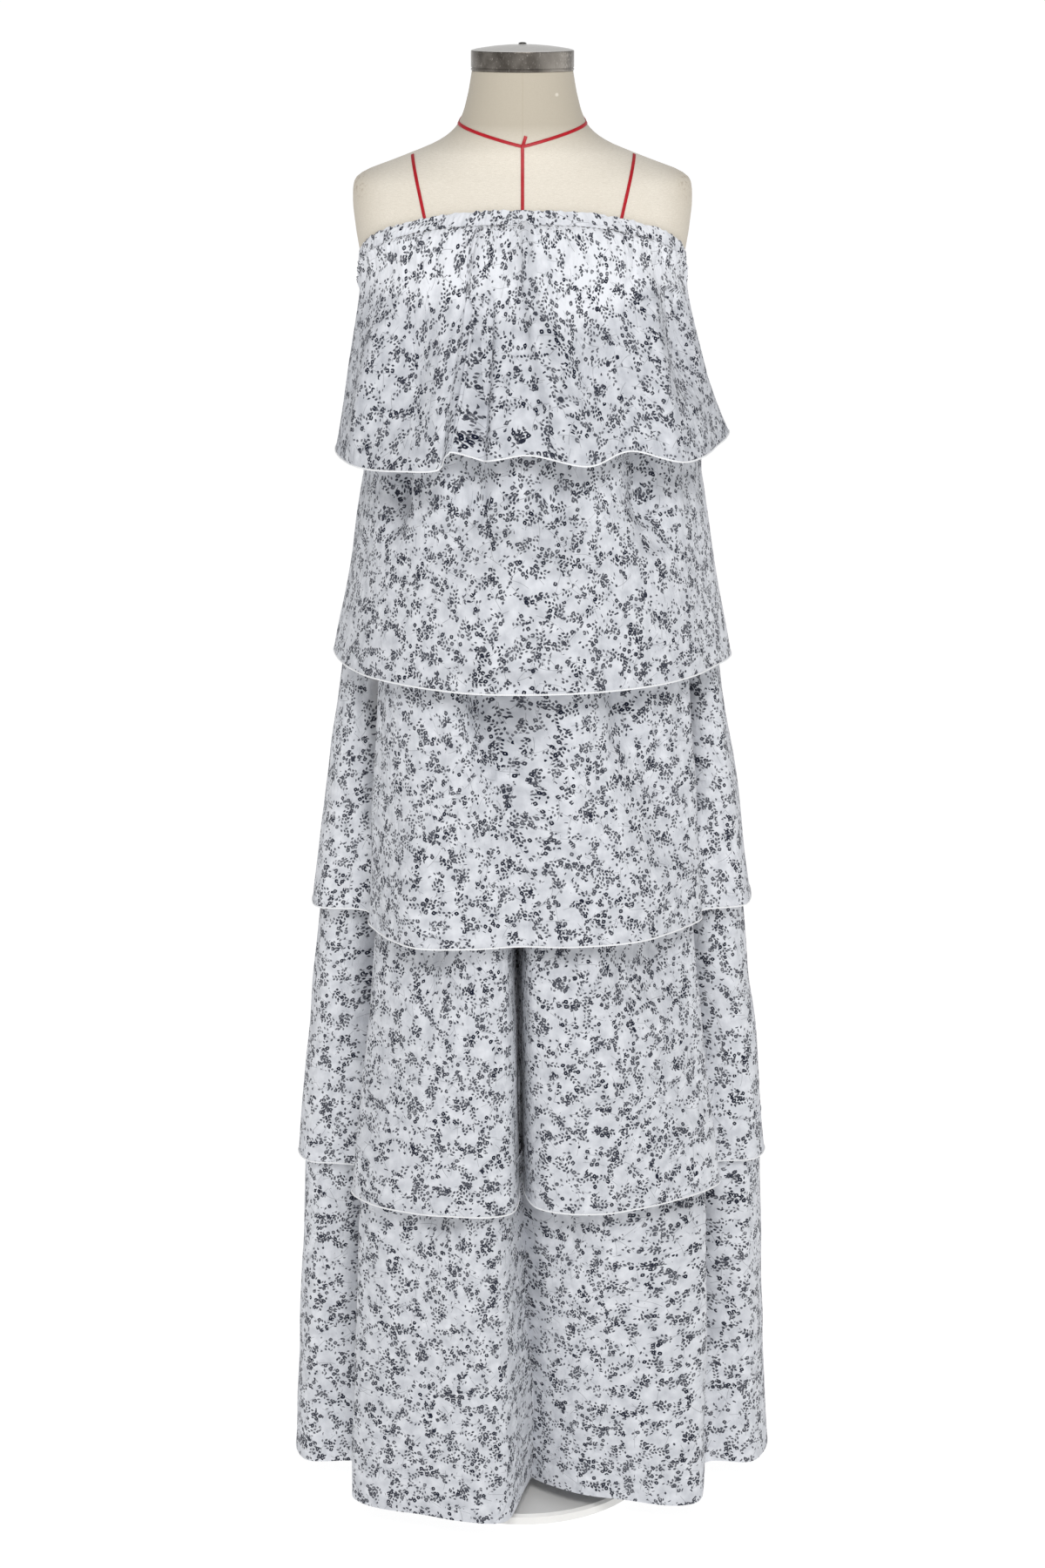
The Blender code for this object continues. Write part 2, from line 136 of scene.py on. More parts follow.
def newMaterial(name, constants):
    # An empty Principled material with its constant values set straight on the shader.
    material = bpy.data.materials.new(name)
    material.use_nodes = True
    board = Board(material.node_tree)
    shader = material.node_tree.nodes["Principled BSDF"]
    for socket, value in constants.items():
        shader.inputs[socket].default_value = value
    return material, board, shader


def feed(board, shader, **links):
    for name, wire in links.items():
        board.tree.links.new(wire.socket, shader.inputs[name.replace("_", " ")])


def tone(red, green, blue):
    # A screen colour of 0 to 255 turned into a linear one.
    parts = (red, green, blue)
    return tuple(((c / 255 + 0.055) / 1.055) ** 2.4 if c > 10 else c / 3294 for c in parts) + (1,)


printLook = {
    "ink": tone(12, 19, 42),
    "cell": 25.0,            # millimetres between sprigs of one layer
    "wander": 0.22,          # share of a cell that a sprig strays
    "stemReach": 12.0,
    "stemWidth": 0.30,
    "stemInk": 0.42,
    "bend": 0.035,
    "leafStep": 4.0,         # leaves stand in pairs along the stem, in rows going out from it
    "leafRow": 3.7,
    "leafLength": 1.90,
    "leafWidth": 1.12,
    "leafTurn": 0.80,
    "flowerStep": 6.8,
    "flowerRow": 6.2,
    "flowerRadius": 1.32,
    "flowerLine": 0.86,
    "spread": 120.0,         # square millimetres that a sprig's leaves fade out over
    "edge": 0.22,            # softness of every printed edge, millimetres
}

clothLook = {
    "backed": tone(235, 237, 242),      # where the sheer cloth lies on what is beneath it
    # hollow is painted shade: the sheer cloth drawn darker where it hangs clear over the shaded space behind
    # it
    "hollow": tone(189, 192, 199),      # where it hangs clear
    # dapple mottles the ground with painted light and shade, standing in for the shading of crinkles
    "dapple": 0.42,
    "lying": 0.55,           # share of backed cloth where nothing else is known
    "farOff": 0.015,         # metres off the form at which the flounce counts as hanging clear
    "sheen": 0.05,
    "crinkle": 0.0020,       # metres
    "crowdCell": 24.0,       # millimetres
}

# layer, how far its rows are turned, its shift in cells, share of leaves and of flowers, strength of the ink
sprigLayers = (
    ("dark sprigs", 0.35, 3.2, 0.70, 0.26, 1.00),
    ("dark sprigs across", 1.45, 17.6, 0.66, 0.24, 1.00),
    ("grey sprigs", 0.90, 47.7, 0.48, 0.19, 0.88),
)


def softEdge(board, inside):
    # 1 where inside is positive, with the soft edge of ink in cloth.
    return (inside / printLook["edge"] + 0.5).held()


def cellDraws(board, *numbers):
    # Three chances of 0 to 1 that stay the same all over one cell.
    cell = board.node("ShaderNodeCombineXYZ", None, dict(enumerate(numbers)))
    return board.draws(cell).parts()


def sprigLayer(board, place, crowd, turn, shift, leafShare, flowerShare, strength):
    # One layer of curved stems, with pairs of leaves and small open flowers on both sides.
    look = printLook
    cell = look["cell"]
    shifts = (shift, shift * 1.7, math.floor(shift))
    cells = board.vector("MULTIPLY_ADD", board.turned(place, turn), (1 / cell, 1 / cell, 0), shifts)
    corner = board.vector("FLOOR", cells)
    draws = board.draws(corner)
    chance, tilt, spin = draws.parts()
    wander = look["wander"]
    away = board.vector("MULTIPLY_ADD", draws, (-wander, -wander, 0), (wander / 2 - 0.5, wander / 2 - 0.5, 0))
    centred = board.vector("ADD", board.vector("FRACTION", cells), away)
    sized = board.vector("MULTIPLY", centred, (cell, cell, 0))
    x, level, _ = board.turned(sized, spin * 6.283).parts()
    y = level - (tilt - 0.5) * look["bend"] * (x * x - 60)
    onStem = abs(x) < look["stemReach"]
    stem = softEdge(board, look["stemWidth"] - abs(y)) * onStem * (chance < 0.7) * look["stemInk"]
    side = y > 0
    aside = abs(y)
    seed = chance * 97 + side * 3

    across = x / look["leafStep"] + side * 0.35 + 50
    outward = aside / look["leafRow"]
    row = outward.math("FLOOR")
    which = across.math("FLOOR")
    leafChance, leafTone, leafTilt = cellDraws(board, which, row, seed)
    along = (across - which - 0.5) * look["leafStep"] + (leafTone - 0.5) * 0.5
    out = (outward - row - 0.5) * look["leafRow"] + (leafTilt - 0.5) * 0.5
    cosine, sine = math.cos(look["leafTurn"]), math.sin(look["leafTurn"])
    lengthwise = along * cosine + out * sine
    crosswise = abs(out * cosine - along * sine)
    halfWidth = look["leafWidth"] * (leafTilt * 0.4 + 0.78)
    lens = (1 - (lengthwise / look["leafLength"]) ** 2) * halfWidth - crosswise
    middle, beside = (which - 49.5) * look["leafStep"], (row + 0.5) * look["leafRow"]
    nearness = 1.5 - (middle * middle + beside * beside * 3.6) / look["spread"]
    leaf = softEdge(board, lens) * (leafChance < crowd * leafShare * nearness) * (leafTone * 0.15 + 0.85)

    step = x / look["flowerStep"] + 50.5
    tier = aside / look["flowerRow"]
    whichStep, whichTier = step.math("FLOOR"), tier.math("FLOOR")
    flowerChance, flowerTone, flowerAway = cellDraws(board, whichStep, whichTier, seed + 11)
    ahead = (step - whichStep - 0.5) * look["flowerStep"] + (flowerTone - 0.5) * 2
    dx = abs(ahead)
    dy = abs((tier - whichTier - 0.5) * look["flowerRow"] + (flowerAway - 0.5) * 1.4)
    reach = (dx * dx * dx + dy * dy * dy) ** (1 / 3)
    ring = softEdge(board, look["flowerLine"] - abs(reach - look["flowerRadius"]))
    blooming = (flowerChance < crowd * flowerShare * (1.2 - whichTier * 0.9)) * onStem
    clear = 1 - blooming * (reach < look["flowerRadius"] + look["flowerLine"])
    parted = 1 - (ahead > 0.7) * (dy < (flowerAway - 0.45) * 1.2)
    ink = stem.most(leaf).math("MULTIPLY", clear).most(ring * blooming * parted)
    return ink * ((tilt * 0.12 + 0.88) * strength)


def chiffonMaterial(name, showThrough, seed):
    # White chiffon with scattered dark sprigs, read from the flat cut of each piece in metres. Its ground has
    # painted shade where the cloth hangs clear, is lighter where it lies on what is beneath it, and is
    # mottled with painted light and shade.
    look = clothLook
    material, board, shader = newMaterial(name, {
        "Roughness": 0.82, "Sheen Weight": look["sheen"], "Sheen Roughness": 0.5, "Specular IOR Level": 0.1})
    cut = board.node("ShaderNodeUVMap", {"uv_map": "cut"})
    place = board.vector("MULTIPLY_ADD", cut, (1000, 1000, 0), (seed * 211.0, seed * 97.0, 0))
    crowd = ((board.noise(place, 1 / look["crowdCell"], 1.5, flat=True) - 0.5) * 3.4 + 0.74).held(0.12, 1.1)
    ink = None
    for label, *layer in sprigLayers:
        drawn = sprigLayer(board, place, crowd, *layer)
        ink = drawn if ink is None else ink.most(drawn)
    dapple = board.noise(place, 1 / 14, 2.0, flat=True)
    # The ground runs from the painted shade of the hollow tone to the backed tone, mottled with painted light
    # and shade by the dapple.
    backed = board.node("ShaderNodeAttribute", {"attribute_name": "backed"}, None, out=2)
    ground = board.mix((backed + (dapple - 0.5) * look["dapple"] * 3).held(), look["hollow"], look["backed"])
    colour = board.mix(ink, ground, printLook["ink"])
    crinkle = board.noise(board.vector("MULTIPLY", place, (1.5, 0.8, 0)), 1 / 11, 3.0, 0.55, flat=True)
    x, y, _ = place.parts()
    weave = (x * 9.0).math("SINE") * (y * 9.0).math("SINE")
    normal = board.bump(crinkle, look["crinkle"], 0.7)
    normal = board.bump(weave, 0.00004, 0.5, normal)
    feed(board, shader, Base_Color=colour, Normal=normal)
    through = board.node("ShaderNodeBsdfTranslucent", None, {"Color": colour, "Normal": normal})
    surface = Wire(board, shader.outputs[0])
    mixed = board.node("ShaderNodeMixShader", None, {0: showThrough, 1: surface, 2: through})
    board.tree.links.new(mixed.socket, board.tree.nodes["Material Output"].inputs["Surface"])
    return material


def threadMaterial(name, colour, stripes):
    # Rolled and sewn thread: fine slanting turns round the hem, with painted shade in the grooves between
    # them.
    material, board, shader = newMaterial(name, {"Roughness": 0.7, "Sheen Weight": 0.2})
    along = board.node("ShaderNodeAttribute", {"attribute_name": "along"}, None, out=2)
    turns = ((along * stripes).math("SINE") * 0.5 + 0.5)
    # Painted shade: the colour is darker in the grooves between the turns.
    base = board.mix(turns, tuple(c * 0.86 for c in colour[:3]) + (1,), colour)
    feed(board, shader, Base_Color=base, Normal=board.bump(turns, 0.0002, 0.6))
    return material


def unit(ways, least=1e-12):
    return ways / (np.linalg.norm(ways, axis=-1, keepdims=True) + least)


def squareTo(grid):
    # The direction square to a sheet of points at every one of them.
    return unit(np.cross(np.gradient(grid, axis=0), np.gradient(grid, axis=1)))


def gridMesh(name, grid, cut, material, backed):
    # A thin closed shell of cloth: the grid is its outer face, rows down and columns to the right.
    rows, columns = grid.shape[:2]
    inner = grid - squareTo(grid) * dress["thread"]
    points = np.concatenate([grid.reshape(-1, 3), inner.reshape(-1, 3)])
    index = np.arange(rows * columns).reshape(rows, columns)
    a, b, c, d = index[:-1, :-1], index[1:, :-1], index[1:, 1:], index[:-1, 1:]
    outer = np.stack([a, b, c, d], -1).reshape(-1, 4)
    under = rows * columns
    faces = [outer, outer[:, ::-1] + under]
    for edge, flip in ((index[0], True), (index[-1], False), (index[:, 0], False), (index[:, -1], True)):
        start, end = edge[:-1], edge[1:]
        strip = np.stack([start, start + under, end + under, end], -1)
        faces.append(strip[:, ::-1] if flip else strip)
    faces = np.concatenate(faces)
    mesh = bpy.data.meshes.new(name)
    mesh.from_pydata(points.tolist(), [], faces.tolist())
    flat = np.concatenate([cut.reshape(-1, 2)] * 2)
    layer = mesh.uv_layers.new(name="cut")
    corners = np.empty(len(mesh.loops), np.int32)
    mesh.loops.foreach_get("vertex_index", corners)
    layer.data.foreach_set("uv", flat[corners].astype(np.float32).ravel())
    # backed: the share of the lighter tone in the cloth's ground; the rest is painted shade
    lying = mesh.attributes.new("backed", "FLOAT", "POINT")
    lying.data.foreach_set("value", np.concatenate([backed.ravel()] * 2).astype(np.float32))
    mesh.materials.append(material)
    mesh.shade_smooth()
    mesh.set_sharp_from_angle(angle=math.radians(60))
    return addObject(name, mesh)


def addObject(name, mesh):
    piece = bpy.data.objects.new(name, mesh)
    bpy.context.scene.collection.objects.link(piece)
    return piece


def standIn(piece, node):
    # Says which solid a piece is shown in place of.
    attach(piece, "root")
    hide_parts(node)


def closeRings(name, rings, material, node, angle=40, looped=False):
    # Rings joined one after another into a closed solid, or into a loop that meets itself.
    edit = bmesh.new()
    rows = [[edit.verts.new(point) for point in ring] for ring in rings]
    count = len(rings[0])
    for upper, lower in zip(rows, rows[1:] + rows[:1] if looped else rows[1:]):
        for side in range(count):
            after = (side + 1) % count
            edit.faces.new((upper[side], lower[side], lower[after], upper[after]))
    if not looped:
        edit.faces.new(rows[0])
        edit.faces.new(rows[-1])
    bmesh.ops.recalc_face_normals(edit, faces=edit.faces)
    mesh = bpy.data.meshes.new(name)
    edit.to_mesh(mesh)
    edit.free()
    mesh.materials.append(material)
    mesh.shade_smooth()
    mesh.set_sharp_from_angle(angle=math.radians(angle))
    standIn(addObject(name, mesh), node)


form = {
    "bustAcross": 0.082, "bustHeight": 1.400, "bustLift": 0.012,
    "bustReachAcross": 0.055, "bustReachUp": 0.055,
    "foot": 0.900, "top": 1.6085, "rounding": 0.004,
    "sides": 160, "rows": 170,
}
# height, half width, front and back in millimetres, fullness (2 is an ellipse)
formSections = np.array((
    (1608.5, 53, 53, 53, 2.0),
    (1588, 56.5, 55, 56, 2.0),
    (1568, 61.5, 57.5, 61, 2.0),
    (1553, 68, 60, 66, 2.0),
    (1543, 78, 63, 70, 2.0),
    (1534, 93, 67, 74, 2.0),
    (1525, 116, 71, 78, 2.05),
    (1516, 139, 75, 82, 2.1),
    (1507, 165, 79, 86, 2.2),
    (1499, 177, 84, 90, 2.3),
    (1488, 179, 90, 94, 2.4),
    (1471, 179, 100, 100, 2.5),
    (1444, 175.5, 112, 105, 2.5),
    (1414, 170, 118, 106, 2.4),
    (1389, 164, 117, 105, 2.3),
    (1360, 152, 112, 101, 2.2),
    (1320, 140, 102, 94, 2.1),
    (1260, 126, 88, 84, 2.0),
    (1200, 122, 84, 84, 2.0),
    (1120, 140, 94, 102, 2.0),
    (1030, 154, 102, 112, 2.05),
    (950, 156, 103, 110, 2.1),
    (900, 152, 100, 104, 2.1),
)) / (1000, 1000, 1000, 1000, 1)


def smoothSections():
    # The sections' columns at every millimetre of height, with their corners rounded.
    heights = np.arange(form["foot"], form["top"] + 0.0005, 0.001)
    reach = form["rounding"]
    offsets = np.arange(-3 * reach, 3 * reach + 0.0005, 0.001)
    weights = np.exp(-((offsets / reach) ** 2))
    weights /= weights.sum()
    columns = []
    for column in range(1, 5):
        values = np.interp(heights, formSections[::-1, 0], formSections[::-1, column])
        half = len(offsets) // 2
        padded = np.concatenate([
            2 * values[0] - values[1:half + 1][::-1], values, 2 * values[-1] - values[-half - 1:-1][::-1]])
        columns.append(np.convolve(padded, weights, "valid"))
    return heights, columns


formHeights, formColumns = smoothSections()


def formRadius(angle, height):
    # How far the form's surface is from its upright middle line.
    angle = np.mod(angle + math.pi, 2 * math.pi) - math.pi
    halfWidth, front, back, fullness = (np.interp(height, formHeights, column) for column in formColumns)
    ahead = np.abs(angle) <= math.pi / 2
    depth = np.where(ahead, front, back)
    aside = np.abs(np.sin(angle)) / halfWidth
    forward = np.abs(np.cos(angle)) / depth
    radius = (aside ** fullness + forward ** fullness) ** (-1 / fullness)
    offAcross = (radius * np.abs(np.sin(angle)) - form["bustAcross"]) / form["bustReachAcross"]
    offUp = (height - form["bustHeight"]) / form["bustReachUp"]
    lift = form["bustLift"] * np.exp(-(offAcross ** 2) - offUp ** 2)
    return radius + np.where(ahead, lift, 0)


def formPoint(angle, height):
    radius = formRadius(angle, height)
    return np.stack([radius * np.sin(angle), -radius * np.cos(angle), height + 0 * angle], -1)


def offForm(angle, height, distance):
    # A point at the form's height and angle, moved level and square to its section.
    step = 0.01
    along = formPoint(angle + step, height) - formPoint(angle - step, height)
    outward = np.stack([along[..., 1], -along[..., 0], 0 * along[..., 0]], -1)
    return formPoint(angle, height) + unit(outward, 0) * np.asarray(distance)[..., None]


def angleAt(across, height):
    # The angle at which the front of the form is this far across.
    angles = np.linspace(0, math.pi / 2, 600)
    widths = formPoint(angles, np.full(600, height))[:, 0]
    return math.copysign(float(np.interp(abs(across), widths, angles)), across)


dress = {
    "wall": 0.0012, "gap": 0.0003, "thread": 0.0005,
    "neckFront": 1.473, "neckSideDrop": 0.088, "neckBackDrop": 0.025,
    "casingHeight": 0.014, "casingClear": 0.0013, "casingSpan": 0.0012,
    "ease": 0.0028, "bodiceFoot": 1.262, "bodiceTuck": 0.004,
    "seamAboveHem": 0.050, "shift": 0.011, "backDepth": 0.94,
    "tierTwoOut": 1.185, "hemOne": 1.212, "foldWidth": 0.045,
}
# Fold, and for each of tiers 2 to 5 four sizes in millimetres: across and forward where the tier
# comes out from under the one above, and across and forward at its hem.
tierFolds = (
    ("left seam", -172, 0, -206, 0, -196, 0, -234, 0, -226, 0, -256, 0, -248, 0, -268, 0),
    ("left side", -167, 42, -200, 48, -184, 45, -226, 58, -212, 42, -243, 38, -234, 32, -252, 52),
    ("left tuck", -153, 78, -184, 96, -150, 62, -172, 76, -158, 60, -182, 56, -172, 48, -186, 60),
    ("left edge", -134, 101, -160, 140, -153, 104, -166, 124, -158, 110, -190, 134, -180, 118, -193, 140),
    ("left lobe", -98, 128, -112, 184, -110, 158, -118, 198, -98, 180, -112, 196, -104, 180, -112, 184),
    ("left middle", -50, 147, -52, 213, -62, 176, -58, 206, -20, 176, -15, 188, -24, 174, -18, 196),
    ("middle", 5, 148, 6, 218, -20, 160, 0, 194, -6, 90, -3, 88, -5, 56, -2, 78),
    ("right middle", 58, 149, 62, 212, 50, 178, 52, 198, 10, 166, 18, 172, 26, 152, 26, 112),
    ("right lobe", 110, 131, 132, 182, 110, 154, 130, 178, 88, 176, 96, 186, 92, 170, 100, 146),
    ("right edge", 152, 101, 182, 136, 174, 102, 193, 110, 184, 98, 219, 106, 207, 96, 198, 154),
    ("right tuck", 173, 77, 205, 94, 170, 60, 198, 72, 180, 56, 208, 50, 196, 44, 214, 62),
    ("right side", 188, 41, 222, 47, 204, 44, 246, 56, 230, 40, 266, 36, 256, 28, 266, 60),
    ("right seam", 193, 0, 228, 0, 215, 0, 257, 0, 246, 0, 281, 0, 272, 0, 290, 0),
)
# flute, its angle at the casing, millimetres across and forward at the hem, and how much higher the hem is
flounceFlutes = (
    ("left seam", -90, -204, 0, 4),
    ("left side", -72, -198, 70, 2),
    ("left lobe side", -54, -168, 140, 0),
    ("left lobe", -40, -124, 182, 4),
    ("left lobe edge", -26, -88, 196, 8),
    ("left hollow", -20, -78, 162, 20),
    ("small flute", -11, -36, 180, 15),
    ("middle hollow", 2, 6, 167, 18),
    ("right flute", 20, 70, 186, 10),
    ("right hollow", 36, 113, 163, 22),
    ("right lobe", 53, 166, 156, 9),
    ("right side", 74, 216, 56, 14),
    ("right seam", 90, 226, 0, 18),
)


def allRound(front):
    # The front's folds and, turned half round, the same folds for the back.
    front = np.asarray(front, float)
    back = front[1:-1].copy()
    back[:, 0] = 2 * dress["shift"] - back[:, 0]
    back[:, 1] = -back[:, 1] * dress["backDepth"]
    return np.concatenate([front, back])


def splineRing(knots, perSpan):
    # A smooth closed ring through the knots, with the same number of stations on every span.
    before, start = np.roll(knots, 1, 0), knots
    end, after = np.roll(knots, -1, 0), np.roll(knots, -2, 0)
    spans = (before, start), (start, end), (end, after)
    first, middle, last = (np.sqrt(np.linalg.norm(b - a, axis=1))[:, None] for a, b in spans)
    leave = (start - before) / first - (end - before) / (first + middle) + (end - start) / middle
    arrive = (end - start) / middle - (after - start) / (middle + last) + (after - end) / last
    t = (np.arange(perSpan) / perSpan)[None, :, None]
    start, end = start[:, None], end[:, None]
    leave, arrive = (leave * middle)[:, None], (arrive * middle)[:, None]
    ring = (start * (2 * t**3 - 3 * t**2 + 1) + leave * (t**3 - 2 * t**2 + t)
            + end * (3 * t**2 - 2 * t**3) + arrive * (t**3 - t**2))
    return ring.reshape(-1, 3)


def foldRing(tier, atHem, height, perSpan):
    column = 1 + 4 * (tier - 2) + 2 * atHem
    return splineRing(allRound([
        (row[column] / 1000, -row[column + 1] / 1000, height) for row in tierFolds]), perSpan)


def outwards(ring):
    # The level direction square to a closed ring at every station.
    along = np.roll(ring, -1, 0) - np.roll(ring, 1, 0)
    return unit(np.stack([along[:, 1], -along[:, 0], 0 * along[:, 0]], -1))


def rowsBetween(upper, lower, count, last=False):
    shares = np.linspace(0, 1, count, endpoint=last)[:, None, None]
    return upper[None] * (1 - shares) + lower[None] * shares


def stationAngles(perSpan):
    front = [math.radians(row[1]) for row in flounceFlutes]
    knots = front + [angle + math.pi for angle in front[1:-1]] + [front[0] + 2 * math.pi]
    spans = [start + (end - start) * np.arange(perSpan) / perSpan for start, end in zip(knots, knots[1:])]
    return np.concatenate(spans)


def neckline(angle):
    # The height of the dress's top edge: high in front, low under the arms.
    angle = np.mod(angle + math.pi, 2 * math.pi) - math.pi
    aside = np.minimum(np.abs(angle), math.pi - np.abs(angle)) / (math.pi / 2)
    drop = np.where(np.abs(angle) <= math.pi / 2, 0, dress["neckBackDrop"])
    return dress["neckFront"] - drop - (dress["neckSideDrop"] - drop) * aside**3.6


def huggingRing(angles, below, distance):
    spanned = distance + dress["casingSpan"] * np.sin(2 * angles) ** 2
    return offForm(angles, neckline(angles) - below, spanned)


def clearForm(grid, clearance):
    # Moves every point out to where it just clears the form, and eases its neighbours out with it.
    angle = np.arctan2(grid[..., 0], -grid[..., 1])
    radius = np.hypot(grid[..., 0], grid[..., 1])
    least = formRadius(angle, grid[..., 2]) + clearance
    ease = 0.004
    beside = grid[..., 2] > form["foot"]
    eased = (radius + least + np.sqrt((radius - least) ** 2 + ease**2) - ease) / 2
    wanted = np.where(beside, np.maximum(eased, least), radius)
    grid[..., :2] *= (wanted / radius)[..., None]
    return grid


def arcAlong(ring):
    # How far round each station of a closed ring is, and the whole way round.
    steps = np.linalg.norm(np.roll(ring, -1, 0) - ring, axis=1)
    return np.concatenate([[0], np.cumsum(steps)[:-1]]), steps.sum()


def softNoise(along, down, whole, cellAlong, cellDown, seed):
    # Smooth random waves of -1 to 1 that meet where the cloth goes round.
    rng = np.random.default_rng(seed)
    columns = max(3, round(whole / cellAlong))
    rows = int(down.max() / cellDown) + 3
    lattice = rng.uniform(-1, 1, (rows, columns))
    x, y = along / whole * columns, down / cellDown
    column, row = np.floor(x).astype(int), np.floor(y).astype(int)
    fx, fy = x - column, y - row
    fx, fy = fx * fx * (3 - 2 * fx), fy * fy * (3 - 2 * fy)
    near, far = column % columns, (column + 1) % columns
    top = lattice[row, near] * (1 - fx) + lattice[row, far] * fx
    foot = lattice[row + 1, near] * (1 - fx) + lattice[row + 1, far] * fx
    return top * (1 - fy) + foot * fy


def gathers(along, down, whole, look, seed, riseOver):
    # Uneven soft folds that start at the gathering seam and fade out further down.
    rng = np.random.default_rng(seed)
    count = round(whole / look["spacing"])
    down = np.maximum(down, 0)
    lift = np.zeros_like(along)
    for number in range(count):
        centre = (number + rng.uniform(-0.42, 0.42)) * whole / count
        depth = look["depth"] * rng.uniform(0.25, 1.0) * rng.choice((1, 1, -0.8))
        reach = look["reach"] * rng.uniform(0.3, 1.0) ** 1.5 * 1.4
        lean = rng.uniform(-0.10, 0.10)
        width = look["width"] * rng.uniform(0.7, 1.3)
        off = np.mod(along - centre - lean * down + whole / 2, whole) - whole / 2
        spread = width * (1 + down / reach * 0.9)
        rise = 1 - np.exp(-((down / riseOver) ** 2))
        lift += depth * rise * np.exp(-((off / spread) ** 2)) * np.exp(-((down / reach) ** 1.6))
    return lift


def creases(foldAt, share, tall, table):
    # Creases placed one by one: each a soft ridge, or a trough where its height is below nothing.
    lift = np.zeros_like(foldAt)
    wide = dress["foldWidth"]
    for label, fromFold, fromShare, toFold, toShare, width, height in table:
        across, down = (toFold - fromFold) * wide, (toShare - fromShare) * tall
        x, y = (foldAt - fromFold) * wide, (share - fromShare) * tall
        part = np.clip((x * across + y * down) / (across**2 + down**2), 0, 1)
        away = np.hypot(x - part * across, y - part * down) * 1000
        ends = 0.35 + 0.65 * np.sin(math.pi * (0.12 + 0.76 * part))
        lift += height / 1000 * ends * np.exp(-((away / width) ** 2))
    return lift


def pushOut(grid, lift):
    # Moves the cloth square to its own surface.
    down = np.gradient(grid, axis=0)
    right = np.roll(grid, -1, 1) - np.roll(grid, 1, 1)
    return grid + unit(np.cross(down, right)) * lift[..., None]


def cutPlaces(grid, whole, along):
    # Places on the flat strip that the tier was cut from, in metres.
    rows = np.linalg.norm(np.diff(grid, axis=0), axis=2).mean(axis=1)
    depth = np.concatenate([[0], np.cumsum(rows)])
    across = np.broadcast_to(along, grid.shape[:2])
    return np.stack([across, np.broadcast_to(-depth[:, None], across.shape)], -1), depth[-1]


def halves(name, grid, cut, whole, length, material, backed=None):
    # Cuts a tube of cloth at its side seams, and says what it replaces and how it was cut.
    half = grid.shape[1] // 2
    # Pieces with no share of their own get the usual share of lighter tone over painted shade.
    backed = np.full(grid.shape[:2], clothLook["lying"]) if backed is None else backed
    made = []
    for side, first in (("front", 0), ("back", half)):
        columns = np.arange(first, first + half + 1)
        part = grid[:, columns % grid.shape[1]].copy()
        places = cut[:, columns % grid.shape[1]].copy()
        places[:, columns >= grid.shape[1], 0] += whole
        for end, step in ((0, 1), (-1, -2)):
            part[:, end] += unit(part[:, step] - part[:, end]) * dress["gap"] / 2
        lying = backed[:, columns % grid.shape[1]]
        piece = gridMesh(f"{name}_{side}_cloth", part, places, material, lying)
        standIn(piece, f"{name}_{side}")
        made.append((side, piece, part, (whole / 2, length)))
    return made


def newTree(name, inputs, outputName):
    tree = bpy.data.node_groups.new(name, "GeometryNodeTree")
    tree.interface.new_socket("Path", in_out="INPUT", socket_type="NodeSocketGeometry")
    for label, kind in inputs:
        tree.interface.new_socket(label, in_out="INPUT", socket_type="NodeSocket" + kind)
    tree.interface.new_socket(outputName, in_out="OUTPUT", socket_type="NodeSocketGeometry")
    board = Board(tree)
    given = board.node("NodeGroupInput")
    return tree, board, given


def finishTree(tree, board, shape, material):
    real = board.node("GeometryNodeRealizeInstances", None, {"Geometry": shape})
    smooth = board.node("GeometryNodeSetShadeSmooth", None, {"Geometry": real})
    done = board.node("GeometryNodeSetMaterial", None, {"Geometry": smooth, "Material": material})
    board.node("NodeGroupOutput", None, {0: done})
    return tree


def rolledHemTree():
    # A thin round roll of cloth along a path.
    tree, board, given = newTree("rolled hem", (("Radius", "Float"), ("Cloth", "Material")), "Hem")
    curve = board.node("GeometryNodeMeshToCurve", None, {"Mesh": given})
    length = board.node("GeometryNodeSplineParameter").out("Length")
    marked = board.node("GeometryNodeStoreNamedAttribute", {"data_type": "FLOAT", "domain": "POINT"},
                        {"Geometry": curve, "Name": "along", "Value": length})
    ring = board.node("GeometryNodeCurvePrimitiveCircle", {"mode": "RADIUS"},
                      {"Resolution": 8, "Radius": given.out("Radius")})
    swept = board.node("GeometryNodeCurveToMesh", None,
                       {"Curve": marked, "Profile Curve": ring, "Fill Caps": True})
    return finishTree(tree, board, swept, given.out("Cloth"))


def stitchTree():
    # Short stitches laid end to end along a path, with a gap between them.
    sizes = [(label, "Float") for label in ("Spacing", "Stitch Length", "Thickness")]
    tree, board, given = newTree("stitch line", sizes + [("Thread", "Material")], "Stitches")
    curve = board.node("GeometryNodeMeshToCurve", None, {"Mesh": given})
    spots = board.node("GeometryNodeCurveToPoints", {"mode": "LENGTH"},
                       {"Curve": curve, "Length": given.out("Spacing")})
    rod = board.node("GeometryNodeMeshCylinder", {"fill_type": "NGON"},
                     {"Vertices": 5, "Radius": given.out("Thickness"), "Depth": given.out("Stitch Length")})
    laid = board.node("GeometryNodeInstanceOnPoints", None,
                      {"Points": spots, "Instance": rod, "Rotation": spots.out("Rotation")})
    return finishTree(tree, board, laid, given.out("Thread"))


